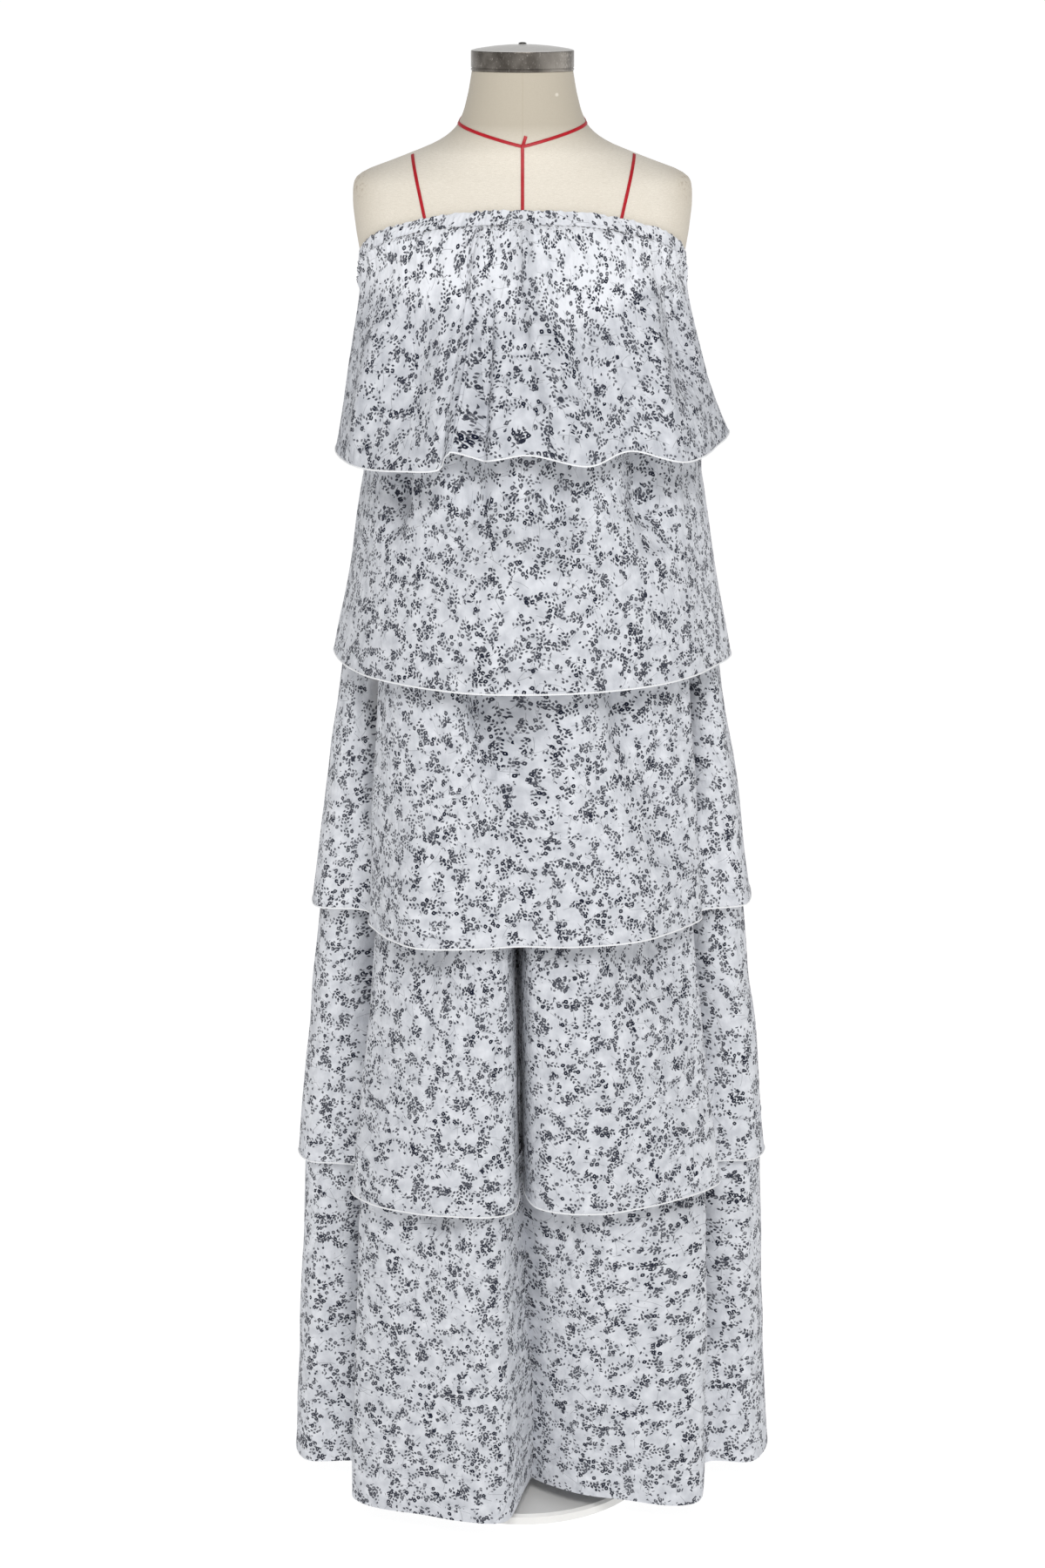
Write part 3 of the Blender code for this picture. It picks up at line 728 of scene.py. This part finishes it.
def alongPath(name, points, tree, values):
    # Runs a path through a geometry tree and keeps the plain mesh that comes out.
    mesh = bpy.data.meshes.new(name + "_path")
    edges = [(place, place + 1) for place in range(len(points) - 1)]
    mesh.from_pydata([tuple(point) for point in points], edges, [])
    guide = addObject(name + "_path", mesh)
    modifier = guide.modifiers.new("path", "NODES")
    modifier.node_group = tree
    for item in tree.interface.items_tree:
        if item.in_out == "INPUT" and item.name in values:
            modifier[item.identifier] = values[item.name]
    graph = bpy.context.evaluated_depsgraph_get()
    made = bpy.data.meshes.new_from_object(guide.evaluated_get(graph))
    made.name = name
    bpy.data.objects.remove(guide)
    piece = addObject(name, made)
    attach(piece, "root")
    return piece


chiffon = chiffonMaterial("printed_chiffon", 0.10, 1)
chiffonInside = chiffonMaterial("printed_chiffon_inner", 0.10, 2)
hemThread = threadMaterial("rolled_hem_white", tone(246, 247, 249), 2 * math.pi / 0.0016)
sewingThread = threadMaterial("sewing_thread", tone(236, 238, 243), 2 * math.pi / 0.0008)
hemTree = rolledHemTree()
lineTree = stitchTree()
print("chiffon and threads ready")


tierLook = {
    "perSpan": 20, "rowsHidden": 8, "rowsShown": 52, "rise": 0.035,
    "hemRadius": 0.001, "hemDrop": (0, 0, -0.0002), "deepHem": 0.046, "stitchLift": 0.0001,
    "stitches": {"Spacing": 0.0034, "Stitch Length": 0.0023, "Thickness": 0.00022},
    "smallWaves": (0.03, 0.05),
    # Painted light: beyond sideFrom the side rolls get a lighter ground, as if lit from the side.
    "printShift": (0.213, 0.117), "sideFrom": 0.175, "paintedSideLight": 0.2,
}
# A crease's row: its name, fold and share of the drop at its start, the same at its end,
# and its half width and height in millimetres.
tiers = (
    {"name": "tier_2", "number": 2, "hem": 0.990, "seed": 21, "rolled": True,
     "gathers": {"spacing": 0.017, "depth": 0.005, "reach": 0.09, "width": 0.0058},
     "waves": (0.0022, 0.07, 0.09), "hemWave": 0.002,
     "creases": (
         ("hollow under left lobe", 3, -0.1, 3, 0.16, 18, -24.8),
         ("hollow under left step", 4.9, -0.1, 5.1, 0.18, 30, -27.9),
         ("hollow in the middle", 6.4, -0.1, 6.6, 0.24, 20, -26.4),
         ("slanting ridge", 5.5, 0.22, 6.3, 0.4, 10, 7.8),
         ("hollow under right lobe", 8.4, -0.1, 8.5, 0.2, 19, -24.8),
         ("hem crease", 4.4, 0.84, 7.2, 0.88, 6, -5.2),
         ("hem band", 4.6, 0.94, 7.4, 0.97, 9, 3.9),
         ("soft dent", 6.2, 0.45, 6, 0.7, 10, -5.2),
     )},
    {"name": "tier_3", "number": 3, "hem": 0.709, "seed": 31, "rolled": True,
     "gathers": {"spacing": 0.018, "depth": 0.0058, "reach": 0.13, "width": 0.0064},
     "waves": (0.0024, 0.07, 0.10), "hemWave": 0.002,
     "creases": (
         ("left side tuck", 2, -0.1, 2, 0.58, 13, -34),
         ("right side tuck", 10, -0.1, 10, 0.58, 13, -34),
         ("hollow left of the middle", 5.6, -0.1, 5.8, 0.22, 27, -26.4),
         ("long dent under it", 5.9, 0.2, 6, 0.62, 10, -9.1),
         ("narrow hollow", 7.9, -0.1, 7.9, 0.22, 12, -21.7),
         ("dent under it", 8.1, 0.25, 8.4, 0.7, 14, -9.1),
         ("left dent", 4.4, 0.15, 4.5, 0.35, 9, -7.8),
         ("left edge bulge", 3.6, 0.8, 4.2, 0.9, 20, 7.8),
         ("right edge bulge", 8.2, 0.82, 8.8, 0.74, 16, 7.8),
     )},
    {"name": "tier_4", "number": 4, "hem": 0.400, "seed": 41, "rolled": True,
     "gathers": {"spacing": 0.021, "depth": 0.0052, "reach": 0.12, "width": 0.0068},
     "waves": (0.0024, 0.08, 0.11), "hemWave": 0.002,
     "creases": (
         ("left side tuck", 2, -0.1, 2, 0.58, 13, -34),
         ("right side tuck", 10, -0.1, 10, 0.58, 13, -34),
         ("left lobe hollow", 4, -0.1, 4.05, 0.14, 18, -24.8),
         ("left lobe dent", 3.95, 0.22, 4, 0.36, 9, -7.8),
         ("right lobe hollow", 7.5, -0.1, 7.5, 0.05, 20, -18.6),
         ("right edge hollow", 8.4, -0.1, 8.5, 0.2, 20, -21.7),
         ("left slant", 3.05, 0.56, 3.9, 0.66, 6, 5.9),
         ("left low slant", 3.05, 0.79, 3.7, 0.86, 6, 5.9),
         ("right slant", 7.65, 0.62, 8.2, 0.53, 6, 5.9),
         ("right high slant", 8.3, 0.57, 8.8, 0.5, 6, 5.9),
         ("right low slant", 7.3, 0.81, 7.8, 0.91, 7, 5.9),
         ("right edge slant", 8.4, 0.81, 8.85, 0.72, 6, 5.9),
     )},
    {"name": "tier_5", "number": 5, "hem": 0.030, "seed": 51, "rolled": False,
     "gathers": {"spacing": 0.022, "depth": 0.0048, "reach": 0.13, "width": 0.0074},
     "waves": (0.0026, 0.08, 0.12), "hemWave": 0.0025,
     "creases": (
         ("left side tuck", 2, -0.1, 2, 0.58, 13, -26),
         ("right side tuck", 10, -0.1, 10, 0.58, 13, -26),
         ("pleat floor", 6, 0, 6, 1, 20, 40),
         ("left lobe hollow", 4.2, -0.1, 4.2, 0.06, 14, -21.7),
         ("right lobe hollow", 7.4, -0.1, 7.5, 0.1, 22, -21.7),
         ("right edge hollow", 8.6, -0.1, 8.7, 0.08, 16, -18.6),
         ("left lobe dent", 4, 0.2, 4.1, 0.45, 12, -5.2),
         ("right lobe dent", 8.2, 0.3, 8, 0.52, 12, -6.5),
         ("right hem turn", 7.9, 0.86, 8.2, 0.99, 16, -10.4),
     )},
)


def hemRoll(name, part):
    # The rolled edge along a piece's last row.
    return alongPath(name + "_hem_roll", part[-1] + tierLook["hemDrop"], hemTree,
                     {"Radius": tierLook["hemRadius"], "Cloth": hemThread})


def tierGrid(tier, seam, outHeight):
    # A tier's sheet of points from its seam to its hem, with its gathers and creases.
    perSpan = tierLook["perSpan"]
    out = foldRing(tier["number"], False, outHeight, perSpan)
    hem = foldRing(tier["number"], True, tier["hem"], perSpan)
    grid = np.concatenate([
        rowsBetween(seam, out, tierLook["rowsHidden"]),
        rowsBetween(out, hem, tierLook["rowsShown"], last=True)])
    along, whole = arcAlong(hem)
    drop = np.maximum(grid[0, :, 2].mean() - grid[..., 2], 0)
    wide = np.broadcast_to(along, drop.shape)
    foldAt = np.broadcast_to(np.arange(len(hem)) / perSpan, drop.shape)
    share = np.clip((outHeight - grid[..., 2]) / (outHeight - tier["hem"]), 0, 1)
    lift = gathers(wide, drop, whole, tier["gathers"], tier["seed"], tierLook["rise"])
    depth, *cells = tier["waves"]
    fading = depth * np.clip(share * 3, 0, 1)
    lift += fading * softNoise(wide, drop, whole, *cells, tier["seed"] + 1)
    lift += 0.4 * fading * softNoise(wide, drop, whole, *tierLook["smallWaves"], tier["seed"] + 2)
    lift += creases(foldAt, share, outHeight - tier["hem"], tier["creases"])
    sag = tier["hemWave"] * softNoise(wide, 0 * drop, whole, 0.10, 1.0, tier["seed"] + 3) * share
    shaped = pushOut(grid, lift)
    shaped[..., 2] += sag
    cut, length = cutPlaces(grid, whole, along)
    cut = cut + np.array(tierLook["printShift"]) * tier["seed"]
    # Painted light on the side rolls: their ground is made lighter towards the sides.
    sideLightShare = np.clip((np.abs(grid[..., 0]) - tierLook["sideFrom"]) / 0.03, 0, 1)
    backed = clothLook["lying"] + tierLook["paintedSideLight"] * sideLightShare
    aboveHem = dress["seamAboveHem"] / (outHeight - tier["hem"])
    nextSeam = out * aboveHem + hem * (1 - aboveHem)
    nextSeam = nextSeam - outwards(nextSeam) * (dress["wall"] + dress["gap"])
    return shaped, cut, whole, length, nextSeam, backed


def makeTiers():
    perSpan = tierLook["perSpan"]
    foot = foldRing(2, False, dress["bodiceFoot"], perSpan)
    foot = foot - outwards(foot) * dress["bodiceTuck"]
    seam = foot - np.array((0, 0, dress["gap"]))
    outHeight = dress["tierTwoOut"]
    for tier in tiers:
        grid, cut, whole, length, nextSeam, backed = tierGrid(tier, seam, outHeight)
        for side, piece, part, flat in halves(tier["name"], grid, cut, whole, length, chiffon, backed):
            if tier["rolled"]:
                trim = hemRoll(f"{tier['name']}_{side}", part)
            else:
                row = np.argmin(np.abs(part[:, 0, 2] - tier["hem"] - tierLook["deepHem"]))
                path = part[row] + squareTo(part)[row] * tierLook["stitchLift"]
                trim = alongPath(f"{tier['name']}_{side}_hem_stitches", path, lineTree,
                                 {**tierLook["stitches"], "Thread": sewingThread})
        seam, outHeight = nextSeam, tier["hem"]
        print(f"{tier['name']}: cut {whole:.3f} x {length:.3f} m")


makeTiers()


topLook = {
    "perSpan": 30, "casingRows": 9, "flounceRows": 64, "bodicePerSpan": 10, "bodiceRows": 16,
    "ruchePitch": 0.0055, "rucheDepth": 0.0011, "rippleReach": 0.022, "frill": 0.0012,
    "casingPrint": 1.15, "casingFullness": 1.25, "casingLying": 0.85,
    # What a backed share leaves out is painted shade in the cloth's ground.
    "hanging": 0.38,                   # share of backed cloth where the flounce hangs clear
    # Painted shade is laid on the flounce where it spans between the bust.
    "paintedShadeBetweenBust": (0.004, 0.030),     # metres across where it spans the bust, and how far that reaches
    "printFromSeam": 0.55,             # how much its print is drawn together with the gathered seam
    "gathers": {"spacing": 0.011, "depth": 0.0030, "reach": 0.075, "width": 0.0034},
    "rise": 0.004,
    "waves": (0.0022, 0.06, 0.09),
}
flounceCreases = (
    ("middle pinch", 7, -0.02, 7.05, 0.2, 4, 4.8),
    ("slanting ridge", 6.85, 0.05, 7.55, 0.8, 11, 16),
    ("dark fold left of it", 5.6, 0.34, 5.75, 1, 11, -20.8),
    ("left chest fold", 4.9, 0.1, 5, 0.95, 14, 9.6),
    ("hollow under the bust", 8, 0.4, 8.3, 0.72, 28, -17.6),
    ("fold across that hollow", 7.9, 0.62, 8.9, 0.5, 7, 8),
    ("left side hollow", 2.7, 0.4, 2.9, 0.8, 22, -14.4),
    ("right side fold", 9.9, 0.2, 9.8, 0.95, 12, 11.2),
    ("right side hollow", 10.5, 0.15, 10.4, 0.66, 13, -14.4),
    ("left side fold", 1.8, 0.4, 1.7, 0.95, 12, 8),
)


def ruched(along, down, whole):
    # The small uneven ripples of cloth drawn up on elastic.
    pitch = along / topLook["ruchePitch"] * 2 * math.pi + 3 * softNoise(along, down, whole, 0.02, 0.05, 3)
    return topLook["rucheDepth"] * 0.6 * (np.sin(pitch) + softNoise(along, down, whole, 0.004, 0.006, 4))


def makeTop():
    perSpan = topLook["perSpan"]
    angles = stationAngles(perSpan)
    bodiceOut = dress["casingClear"] + dress["wall"]
    flounceOut = bodiceOut + dress["gap"] + dress["wall"]
    below = dress["casingHeight"] + 2 * dress["gap"]

    rows = [huggingRing(angles, dress["casingHeight"] * share, flounceOut)
            for share in np.linspace(0, 1, topLook["casingRows"])]
    grid = np.array(rows)
    along, whole = arcAlong(grid[0])
    wide = np.broadcast_to(along, grid.shape[:2])
    drop = np.broadcast_to((np.linspace(0, 1, len(rows)) * dress["casingHeight"])[:, None], wide.shape)
    swell = np.sin(math.pi * np.clip(drop / dress["casingHeight"], 0.06, 0.5))
    grid = pushOut(grid, (ruched(wide, drop, whole) + 0.0004) * swell)
    frill = topLook["frill"] * softNoise(wide, 0 * drop, whole, 0.0045, 1.0, 5)
    grid[0, :, 2] += frill[0]
    grid[1, :, 2] += frill[0] * 0.5
    spread, fullness = topLook["casingPrint"], topLook["casingFullness"]
    cut, length = cutPlaces(grid, whole * spread, along * spread)
    backed = np.full(grid.shape[:2], topLook["casingLying"])
    for side, piece, part, flat in halves("neck_casing", grid, cut, whole * spread, length, chiffon, backed):
        flat[0] / spread * fullness
    print(f"neck casing: cut {whole * fullness:.3f} x {length:.3f} m")

    hem = splineRing(allRound([
        (across / 1000, -forward / 1000, dress["hemOne"] + rise / 1000)
        for label, angle, across, forward, rise in flounceFlutes]), perSpan)
    seam = huggingRing(angles, below, flounceOut)
    grid = rowsBetween(seam, hem, topLook["flounceRows"], last=True)
    hung = clearForm(grid[1:].copy(), flounceOut + 2 * dress["ease"])
    grid = np.concatenate([grid[:1], hung])
    drawnUp, girth = arcAlong(grid[0])
    along, whole = arcAlong(hem)
    drop = grid[:1, :, 2] - grid[..., 2]
    wide = np.broadcast_to(along, drop.shape)
    share = drop / drop[-1:]
    foldAt = np.broadcast_to(np.arange(len(hem)) / perSpan, drop.shape)
    lift = gathers(wide, drop, whole, topLook["gathers"], 11, topLook["rise"])
    depth, *cells = topLook["waves"]
    lift += depth * np.clip(share * 2, 0, 1) * softNoise(wide, drop, whole, *cells, 12)
    lift += creases(foldAt, share, grid[0, :, 2].mean() - dress["hemOne"], flounceCreases)
    lift = np.where(share < 0.2, np.maximum(lift, -0.0012), lift)
    ripples = ruched(np.broadcast_to(drawnUp, drop.shape), drop + dress["casingHeight"], girth)
    lift += (ripples + 0.0004) * np.exp(-((drop / topLook["rippleReach"]) ** 1.5))
    grid = pushOut(grid, lift)
    grid[2:] = clearForm(grid[2:].copy(), flounceOut)
    fromSeam = topLook["printFromSeam"]
    cut, length = cutPlaces(grid, whole, along * (1 - fromSeam) + drawnUp * (fromSeam * whole / girth))
    # The flounce's ground is lighter where it lies on the form and takes painted shade where it hangs clear,
    # with more painted shade where it spans between the bust.
    angle = np.arctan2(grid[..., 0], -grid[..., 1])
    clear = np.hypot(grid[..., 0], grid[..., 1]) - formRadius(angle, grid[..., 2]) - flounceOut
    middle, reach = topLook["paintedShadeBetweenBust"]
    between = 0.5 * np.exp(-(((grid[..., 0] - middle) / reach) ** 2)) * np.clip(drop / 0.03, 0, 1)
    lying = np.exp(-((np.maximum(clear, 0) / clothLook["farOff"]) ** 4)) * (1 - between)
    backed = topLook["hanging"] + (1 - topLook["hanging"]) * lying
    for side, piece, part, flat in halves("flounce", grid, cut, whole, length, chiffon, backed):
        roll = hemRoll(f"flounce_{side}", part)
    print(f"flounce: cut {whole:.3f} x {length:.3f} m")

    perSpan = topLook["bodicePerSpan"]
    angles = stationAngles(perSpan)
    foot = foldRing(2, False, dress["bodiceFoot"], perSpan)
    foot = foot - outwards(foot) * dress["bodiceTuck"]
    top = huggingRing(angles, below, bodiceOut)
    grid = rowsBetween(top, foot, topLook["bodiceRows"], last=True)
    grid = np.concatenate([grid[:1], clearForm(grid[1:].copy(), bodiceOut + dress["ease"])])
    along, whole = arcAlong(foot)
    cut, length = cutPlaces(grid, whole, along)
    for side, piece, part, flat in halves("bodice", grid, cut, whole, length, chiffonInside):
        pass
    print(f"bodice: cut {whole:.3f} x {length:.3f} m")


makeTop()


linenLook = {
    "threads": (1900, 1900, 260), "slubs": (240, 240, 2100),    # to the metre
    # Painted shade on the linen starts this far across towards the arm ends and this far up under the cap.
    "armShadeFrom": 0.136, "neckShadeFrom": 1.526,      # metres across and up where the linen turns darker
    "pin": (0.0355, 1.586, 0.0022),            # across, up and radius
    "tips": (0.160, 1.475),                    # across and up where the shoulders are scuffed
}


def linenMaterial():
    # Tight plain linen with slubs, with painted shade towards the arm ends and under the cap.
    look = linenLook
    material, board, shader = newMaterial("form_linen", {"Roughness": 0.9, "Sheen Weight": 0.15})
    place = board.objectPlace()
    x, y, z = place.parts()
    threads, slubs = (board.stretched(place, look[kind], 1.0) for kind in ("threads", "slubs"))
    weave = threads * 0.5 + slubs * 0.5
    inFront = y < 0
    seam = ((0.0007 - abs(x)) / 0.0004).held() * inFront * 0.35
    across, up, radius = look["pin"]
    pin = ((radius - ((x - across) ** 2 + (z - up) ** 2) ** 0.5) / 0.001).held() * inFront
    across, up = look["tips"]
    tips = ((abs(x) - across) / 0.012).held() * ((z - up) / 0.02).held()
    base = board.mix(weave, tone(198, 189, 172), tone(248, 242, 231))
    for where, colour in (
            ((board.noise(place, 9.0, 2.0) - 0.45).held() * 0.5, (214, 202, 180)),
            # painted shade: darker towards the arm ends and under the cap
            (((abs(x) - look["armShadeFrom"]) / 0.040).held() ** 1.5 * 0.5, (176, 164, 144)),
            (((z - look["neckShadeFrom"]) / 0.030).held() * 0.85, (176, 167, 150)),
            (seam, (170, 158, 138)),
            (pin * 0.5, (236, 230, 218)),
            (((board.noise(place, 260.0, 3.0) - 0.52) * 6).held() * tips * 0.7, (150, 128, 100))):
        base = board.mix(where, base, tone(*colour))
    feed(board, shader, Base_Color=base, Normal=board.bump(weave - seam - pin, 0.0003, 0.35))
    return material


def makeForm():
    angles = np.linspace(-math.pi, math.pi, form["sides"], endpoint=False)
    heights = np.linspace(form["top"], form["foot"], form["rows"])
    rings = [formPoint(angles, np.full(len(angles), height)) for height in heights]
    closeRings("form_cover", rings, linenMaterial(), "form_torso")
    print("form covered")


cap = {
    "radius": 0.0540, "foot": 1.6088, "band": 0.021, "dome": 0.0055, "corner": 0.0016, "lip": 0.0008,
    "groove": (0.0035, 0.0031, 0.0024, 0.0020), "grooveDepth": 0.0007, "sides": 128,
    # place round the front from left to right, and how bright the painted reflection makes the steel there
    "paintedReflection": ((0.04, 0.55), (0.14, 0.20), (0.30, 0.26), (0.45, 0.14), (0.58, 0.30), (0.68, 0.74),
              (0.76, 0.70), (0.84, 0.25), (0.92, 0.18), (1.00, 0.55)),
    # radius of the bolt's head, and how far up
    "bolt": ((0.0010, 0.0018), (0.0026, 0.0016), (0.0040, 0.0010), (0.0044, 0.0003), (0.0044, 0)),
}


def steelMaterial():
    # Brushed steel with painted reflections in streaks round the band, a painted highlight on its top, and
    # scratched wear.
    material, board, shader = newMaterial("cap_steel", {})
    place = board.objectPlace()
    x, y, z = place.parts()
    around = board.math("ARCTAN2", x, y * -1)
    brushed = board.stretched(place, (167, 167, 2600), 3.0)
    paintedStreaks = board.stretched(place, (59, 59, 45), 3.0)
    paintedReflection = board.ramp(around / 3.4 + 0.5, cap["paintedReflection"])
    paintedStreaks = (board.node("ShaderNodeSeparateColor", None, {0: paintedReflection}) + (paintedStreaks - 0.5) * 0.8).held()
    scratches = board.stretched(place, (740, 740, 300), 2.0)
    onBand = (z - (cap["foot"] + cap["band"] - 0.0006)) < 0
    # Painted reflection: the band runs from dark to bright steel along the streaks.
    band = board.mix(paintedStreaks, tone(58, 53, 48), tone(176, 170, 162))
    # Painted highlight: the top is near-white steel.
    top = board.mix(brushed, tone(236, 234, 230), tone(252, 250, 247))
    base = board.mix(onBand, top, band)
    scraped = 1 - (abs(around - 1.0) / 0.35).held()
    worn = ((scratches - 0.62 + scraped * 0.14) * 6).held() * onBand * 0.6
    base = board.mix(worn, base, tone(196, 190, 182))
    rough = brushed * 0.18 + 0.24
    feed(board, shader, Base_Color=base, Roughness=rough, Metallic=onBand * 0.6 + 0.4,
         Normal=board.bump(brushed, 0.0002, 0.25))
    return material


def turnedRings(profile, sides):
    turns = np.linspace(0, 2 * math.pi, sides, endpoint=False)
    return [np.stack([r * np.cos(turns), r * np.sin(turns), np.full(sides, h)], -1) for r, h in profile]


def arcCorner(radius, height, size, start, end, steps=5):
    # Points on a rounded corner of a turned profile.
    turns = np.radians(np.linspace(start, end, steps))
    return [(radius + size * math.cos(t), height + size * math.sin(t)) for t in turns]


def makeCap():
    steel = steelMaterial()
    foot, radius, corner, lip = cap["foot"], cap["radius"], cap["corner"], cap["lip"]
    edge, inner = foot + cap["band"], radius - cap["grooveDepth"]
    top, *within, bottom = (foot + rise for rise in cap["groove"])
    dome = [(radius * share, edge + cap["dome"] * (1 - share**2)) for share in (0.04, 0.3, 0.55, 0.75, 0.9)]
    profile = (dome + arcCorner(radius - corner, edge - corner, corner, 80, 0)
               + [(radius, top), *((inner, height) for height in within), (radius, bottom)]
               + arcCorner(radius - lip, foot + lip, lip, 0, -90))
    closeRings("neck_cap_steel", turnedRings(profile, cap["sides"]), steel, "neck_cap")
    seat = foot + cap["band"] + cap["dome"] + 0.0003
    head = [(radius, seat + rise) for radius, rise in cap["bolt"]]
    dark, board, shader = newMaterial("cap_screw_dark", {"Metallic": 1.0, "Roughness": 0.35})
    place = board.objectPlace()
    worn = board.noise(place, 700.0, 2.0)
    feed(board, shader, Base_Color=board.mix(worn, tone(60, 58, 56), tone(110, 107, 103)))
    closeRings("cap_bolt", turnedRings(head, 32), dark, "cap_screw")
    print("cap ready")


tapes = {"width": 0.0034, "thickness": 0.0005, "lift": 0.0004,
         "neckSide": 1.5560, "neckDrop": 0.0215, "neckBend": 0.75, "tail": 0.0105, "tailLean": 0.055,
         "foot": 0.011, "turn": 1.6}
# tape, side, across at its top and at its foot, height of its top
princessTapes = (
    ("tape_princess_left", -1, 0.115, 0.098, 1.5235),
    ("tape_princess_right", 1, 0.117, 0.099, 1.5235),
)


def tapeMaterial():
    material, board, shader = newMaterial("style_tape", {"Roughness": 0.45, "Specular IOR Level": 0.4})
    place = board.objectPlace()
    worn = board.noise(place, 260.0, 2.0)
    base = board.mix(worn, tone(150, 10, 24), tone(196, 20, 38))
    feed(board, shader, Base_Color=base, Normal=board.bump(board.noise(place, 1500.0, 1.0), 0.0001, 0.4))
    return material


def makeTape(name, angles, heights, material, looped=False, raised=0.0):
    # A narrow flat tape on the form, its edges slightly rounded down.
    points = formPoint(angles, heights)
    step = 0.002
    along = formPoint(angles + step, heights) - formPoint(angles - step, heights)
    up = formPoint(angles, heights + step) - formPoint(angles, heights - step)
    normal = unit(np.cross(along, up))
    run = np.roll(points, -1, 0) - np.roll(points, 1, 0) if looped else np.gradient(points, axis=0)
    aside = unit(np.cross(run, normal))
    half, low, high, side = tapes["width"] / 2, tapes["lift"], tapes["lift"] + tapes["thickness"], 0.0003
    section = ((-half, low), (half, low), (half, low + side), (half * 0.8, high), (-half * 0.8, high),
               (-half, low + side))
    raised = np.broadcast_to(raised, len(points))[:, None]
    rings = np.stack([points + aside * across + normal * (height + raised) for across, height in section], 1)
    closeRings(name + "_laid", rings, material, name, 35, looped)


def makeTapes():
    red = tapeMaterial()
    angles = np.linspace(-math.pi, math.pi, 120, endpoint=False)
    bend = tapes["neckBend"]
    pointed = 1 - np.sqrt(np.sin(angles) ** 2 + 0.0008)
    dip = np.where(np.abs(angles) < math.pi / 2, (1 - bend) * np.cos(angles) + bend * pointed, np.cos(angles))
    crossing = tapes["neckSide"] - tapes["neckDrop"]
    makeTape("tape_neck", angles, tapes["neckSide"] - tapes["neckDrop"] * dip, red, looped=True)
    heights = np.linspace(crossing + tapes["tail"], dress["neckFront"] - tapes["foot"], 61)
    above = np.clip((heights - crossing) / tapes["tail"], 0, 1)
    over = np.exp(-(((heights - crossing) / 0.004) ** 2)) * (tapes["thickness"] + 0.0002)
    makeTape("tape_centre_front", tapes["tailLean"] * above, heights, red, raised=over)
    for name, side, topAcross, footAcross, top in princessTapes:
        foot = float(neckline(np.array(angleAt(footAcross, dress["neckFront"])))) - tapes["foot"]
        shares = np.linspace(0, 1, 33) ** tapes["turn"]
        heights = top + (foot - top) * shares
        across = topAcross + (footAcross - topAcross) * shares
        angles = np.array([angleAt(side * a, h) for a, h in zip(across, heights)])
        makeTape(name, angles, heights, red)
    print("tapes laid")


def paintStand():
    material, board, shader = newMaterial("stand_paint", {"Coat Weight": 0.15})
    place = board.objectPlace()
    cloudy = board.noise(place, 30.0, 3.0)
    fine = board.noise(place, 900.0, 2.0)
    feed(board, shader, Base_Color=board.mix(cloudy, tone(232, 231, 228), tone(244, 243, 240)),
         Roughness=fine * 0.15 + 0.33, Normal=board.bump(fine, 0.0001, 0.3))
    for name in ("form_pole", "base_collar", "base_plate"):
        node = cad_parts[name]
        for index in range(len(node.material_slots)):
            node.material_slots[index].material = material
    print("stand painted")


makeForm()
makeCap()
makeTapes()
paintStand()


studio = {
    "floorSize": 500.0, "floorGlow": 0.95,
    "horizon": 1.0, "overhead": 0.30, "horizonEnds": 0.10, "overheadStarts": 0.32,
    "keyPower": 80, "keyPlace": (0.25, -3.2, 3.5), "keyAim": (0, 0, 0.9), "keySize": 1.5,
}
camera = {"place": (0, -3.308, 1.755), "tiltDown": 15.56, "lens": 70.82, "sensor": 36}


def makeStudio():
    material, board, shader = newMaterial("studio_floor", {"Roughness": 0.95, "Specular IOR Level": 0.1})
    place = board.objectPlace()
    cloudy = board.noise(place, 0.6, 1.0)
    feed(board, shader, Base_Color=board.mix(cloudy, (0.20, 0.20, 0.20, 1), (0.22, 0.22, 0.22, 1)))
    shader.inputs["Emission Color"].default_value = (1, 1, 1, 1)
    shader.inputs["Emission Strength"].default_value = studio["floorGlow"]
    edit = bmesh.new()
    bmesh.ops.create_grid(edit, x_segments=2, y_segments=2, size=studio["floorSize"])
    mesh = bpy.data.meshes.new("studio_floor")
    edit.to_mesh(mesh)
    edit.free()
    mesh.transform(Matrix.Translation((0, 0, -0.0005)))
    mesh.materials.append(material)
    floor = addObject("studio_floor", mesh)

    world = bpy.data.worlds.new("soft_room")
    bpy.context.scene.world = world
    world.use_nodes = True
    board = Board(world.node_tree)
    sky = world.node_tree.nodes["Background"]
    direction = board.node("ShaderNodeTexCoord")
    height = direction.parts()[2]
    bright, dim = studio["horizon"], studio["overhead"]
    ramp = board.ramp(height, (
        (0.0, bright), (studio["horizonEnds"], bright), (studio["overheadStarts"], dim)))
    board.tree.links.new(ramp.socket, sky.inputs["Color"])
    sky.inputs["Strength"].default_value = 1.0

    lamp = bpy.data.lights.new("key_softbox", "AREA")
    lamp.shape = "DISK"
    lamp.size = studio["keySize"]
    lamp.energy = studio["keyPower"]
    key = addObject("key_softbox", lamp)
    key.location = studio["keyPlace"]
    aim = Vector(studio["keyAim"]) - Vector(studio["keyPlace"])
    key.rotation_euler = aim.to_track_quat("-Z", "Y").to_euler()

    lens = bpy.data.cameras.new("front_camera")
    lens.lens = camera["lens"]
    lens.sensor_width = camera["sensor"]
    eye = addObject("front_camera", lens)
    eye.location = camera["place"]
    eye.rotation_euler = (math.radians(90 - camera["tiltDown"]), 0, 0)
    bpy.context.scene.camera = eye
    bpy.context.scene.view_settings.view_transform = "Standard"
    print("studio ready")


makeStudio()
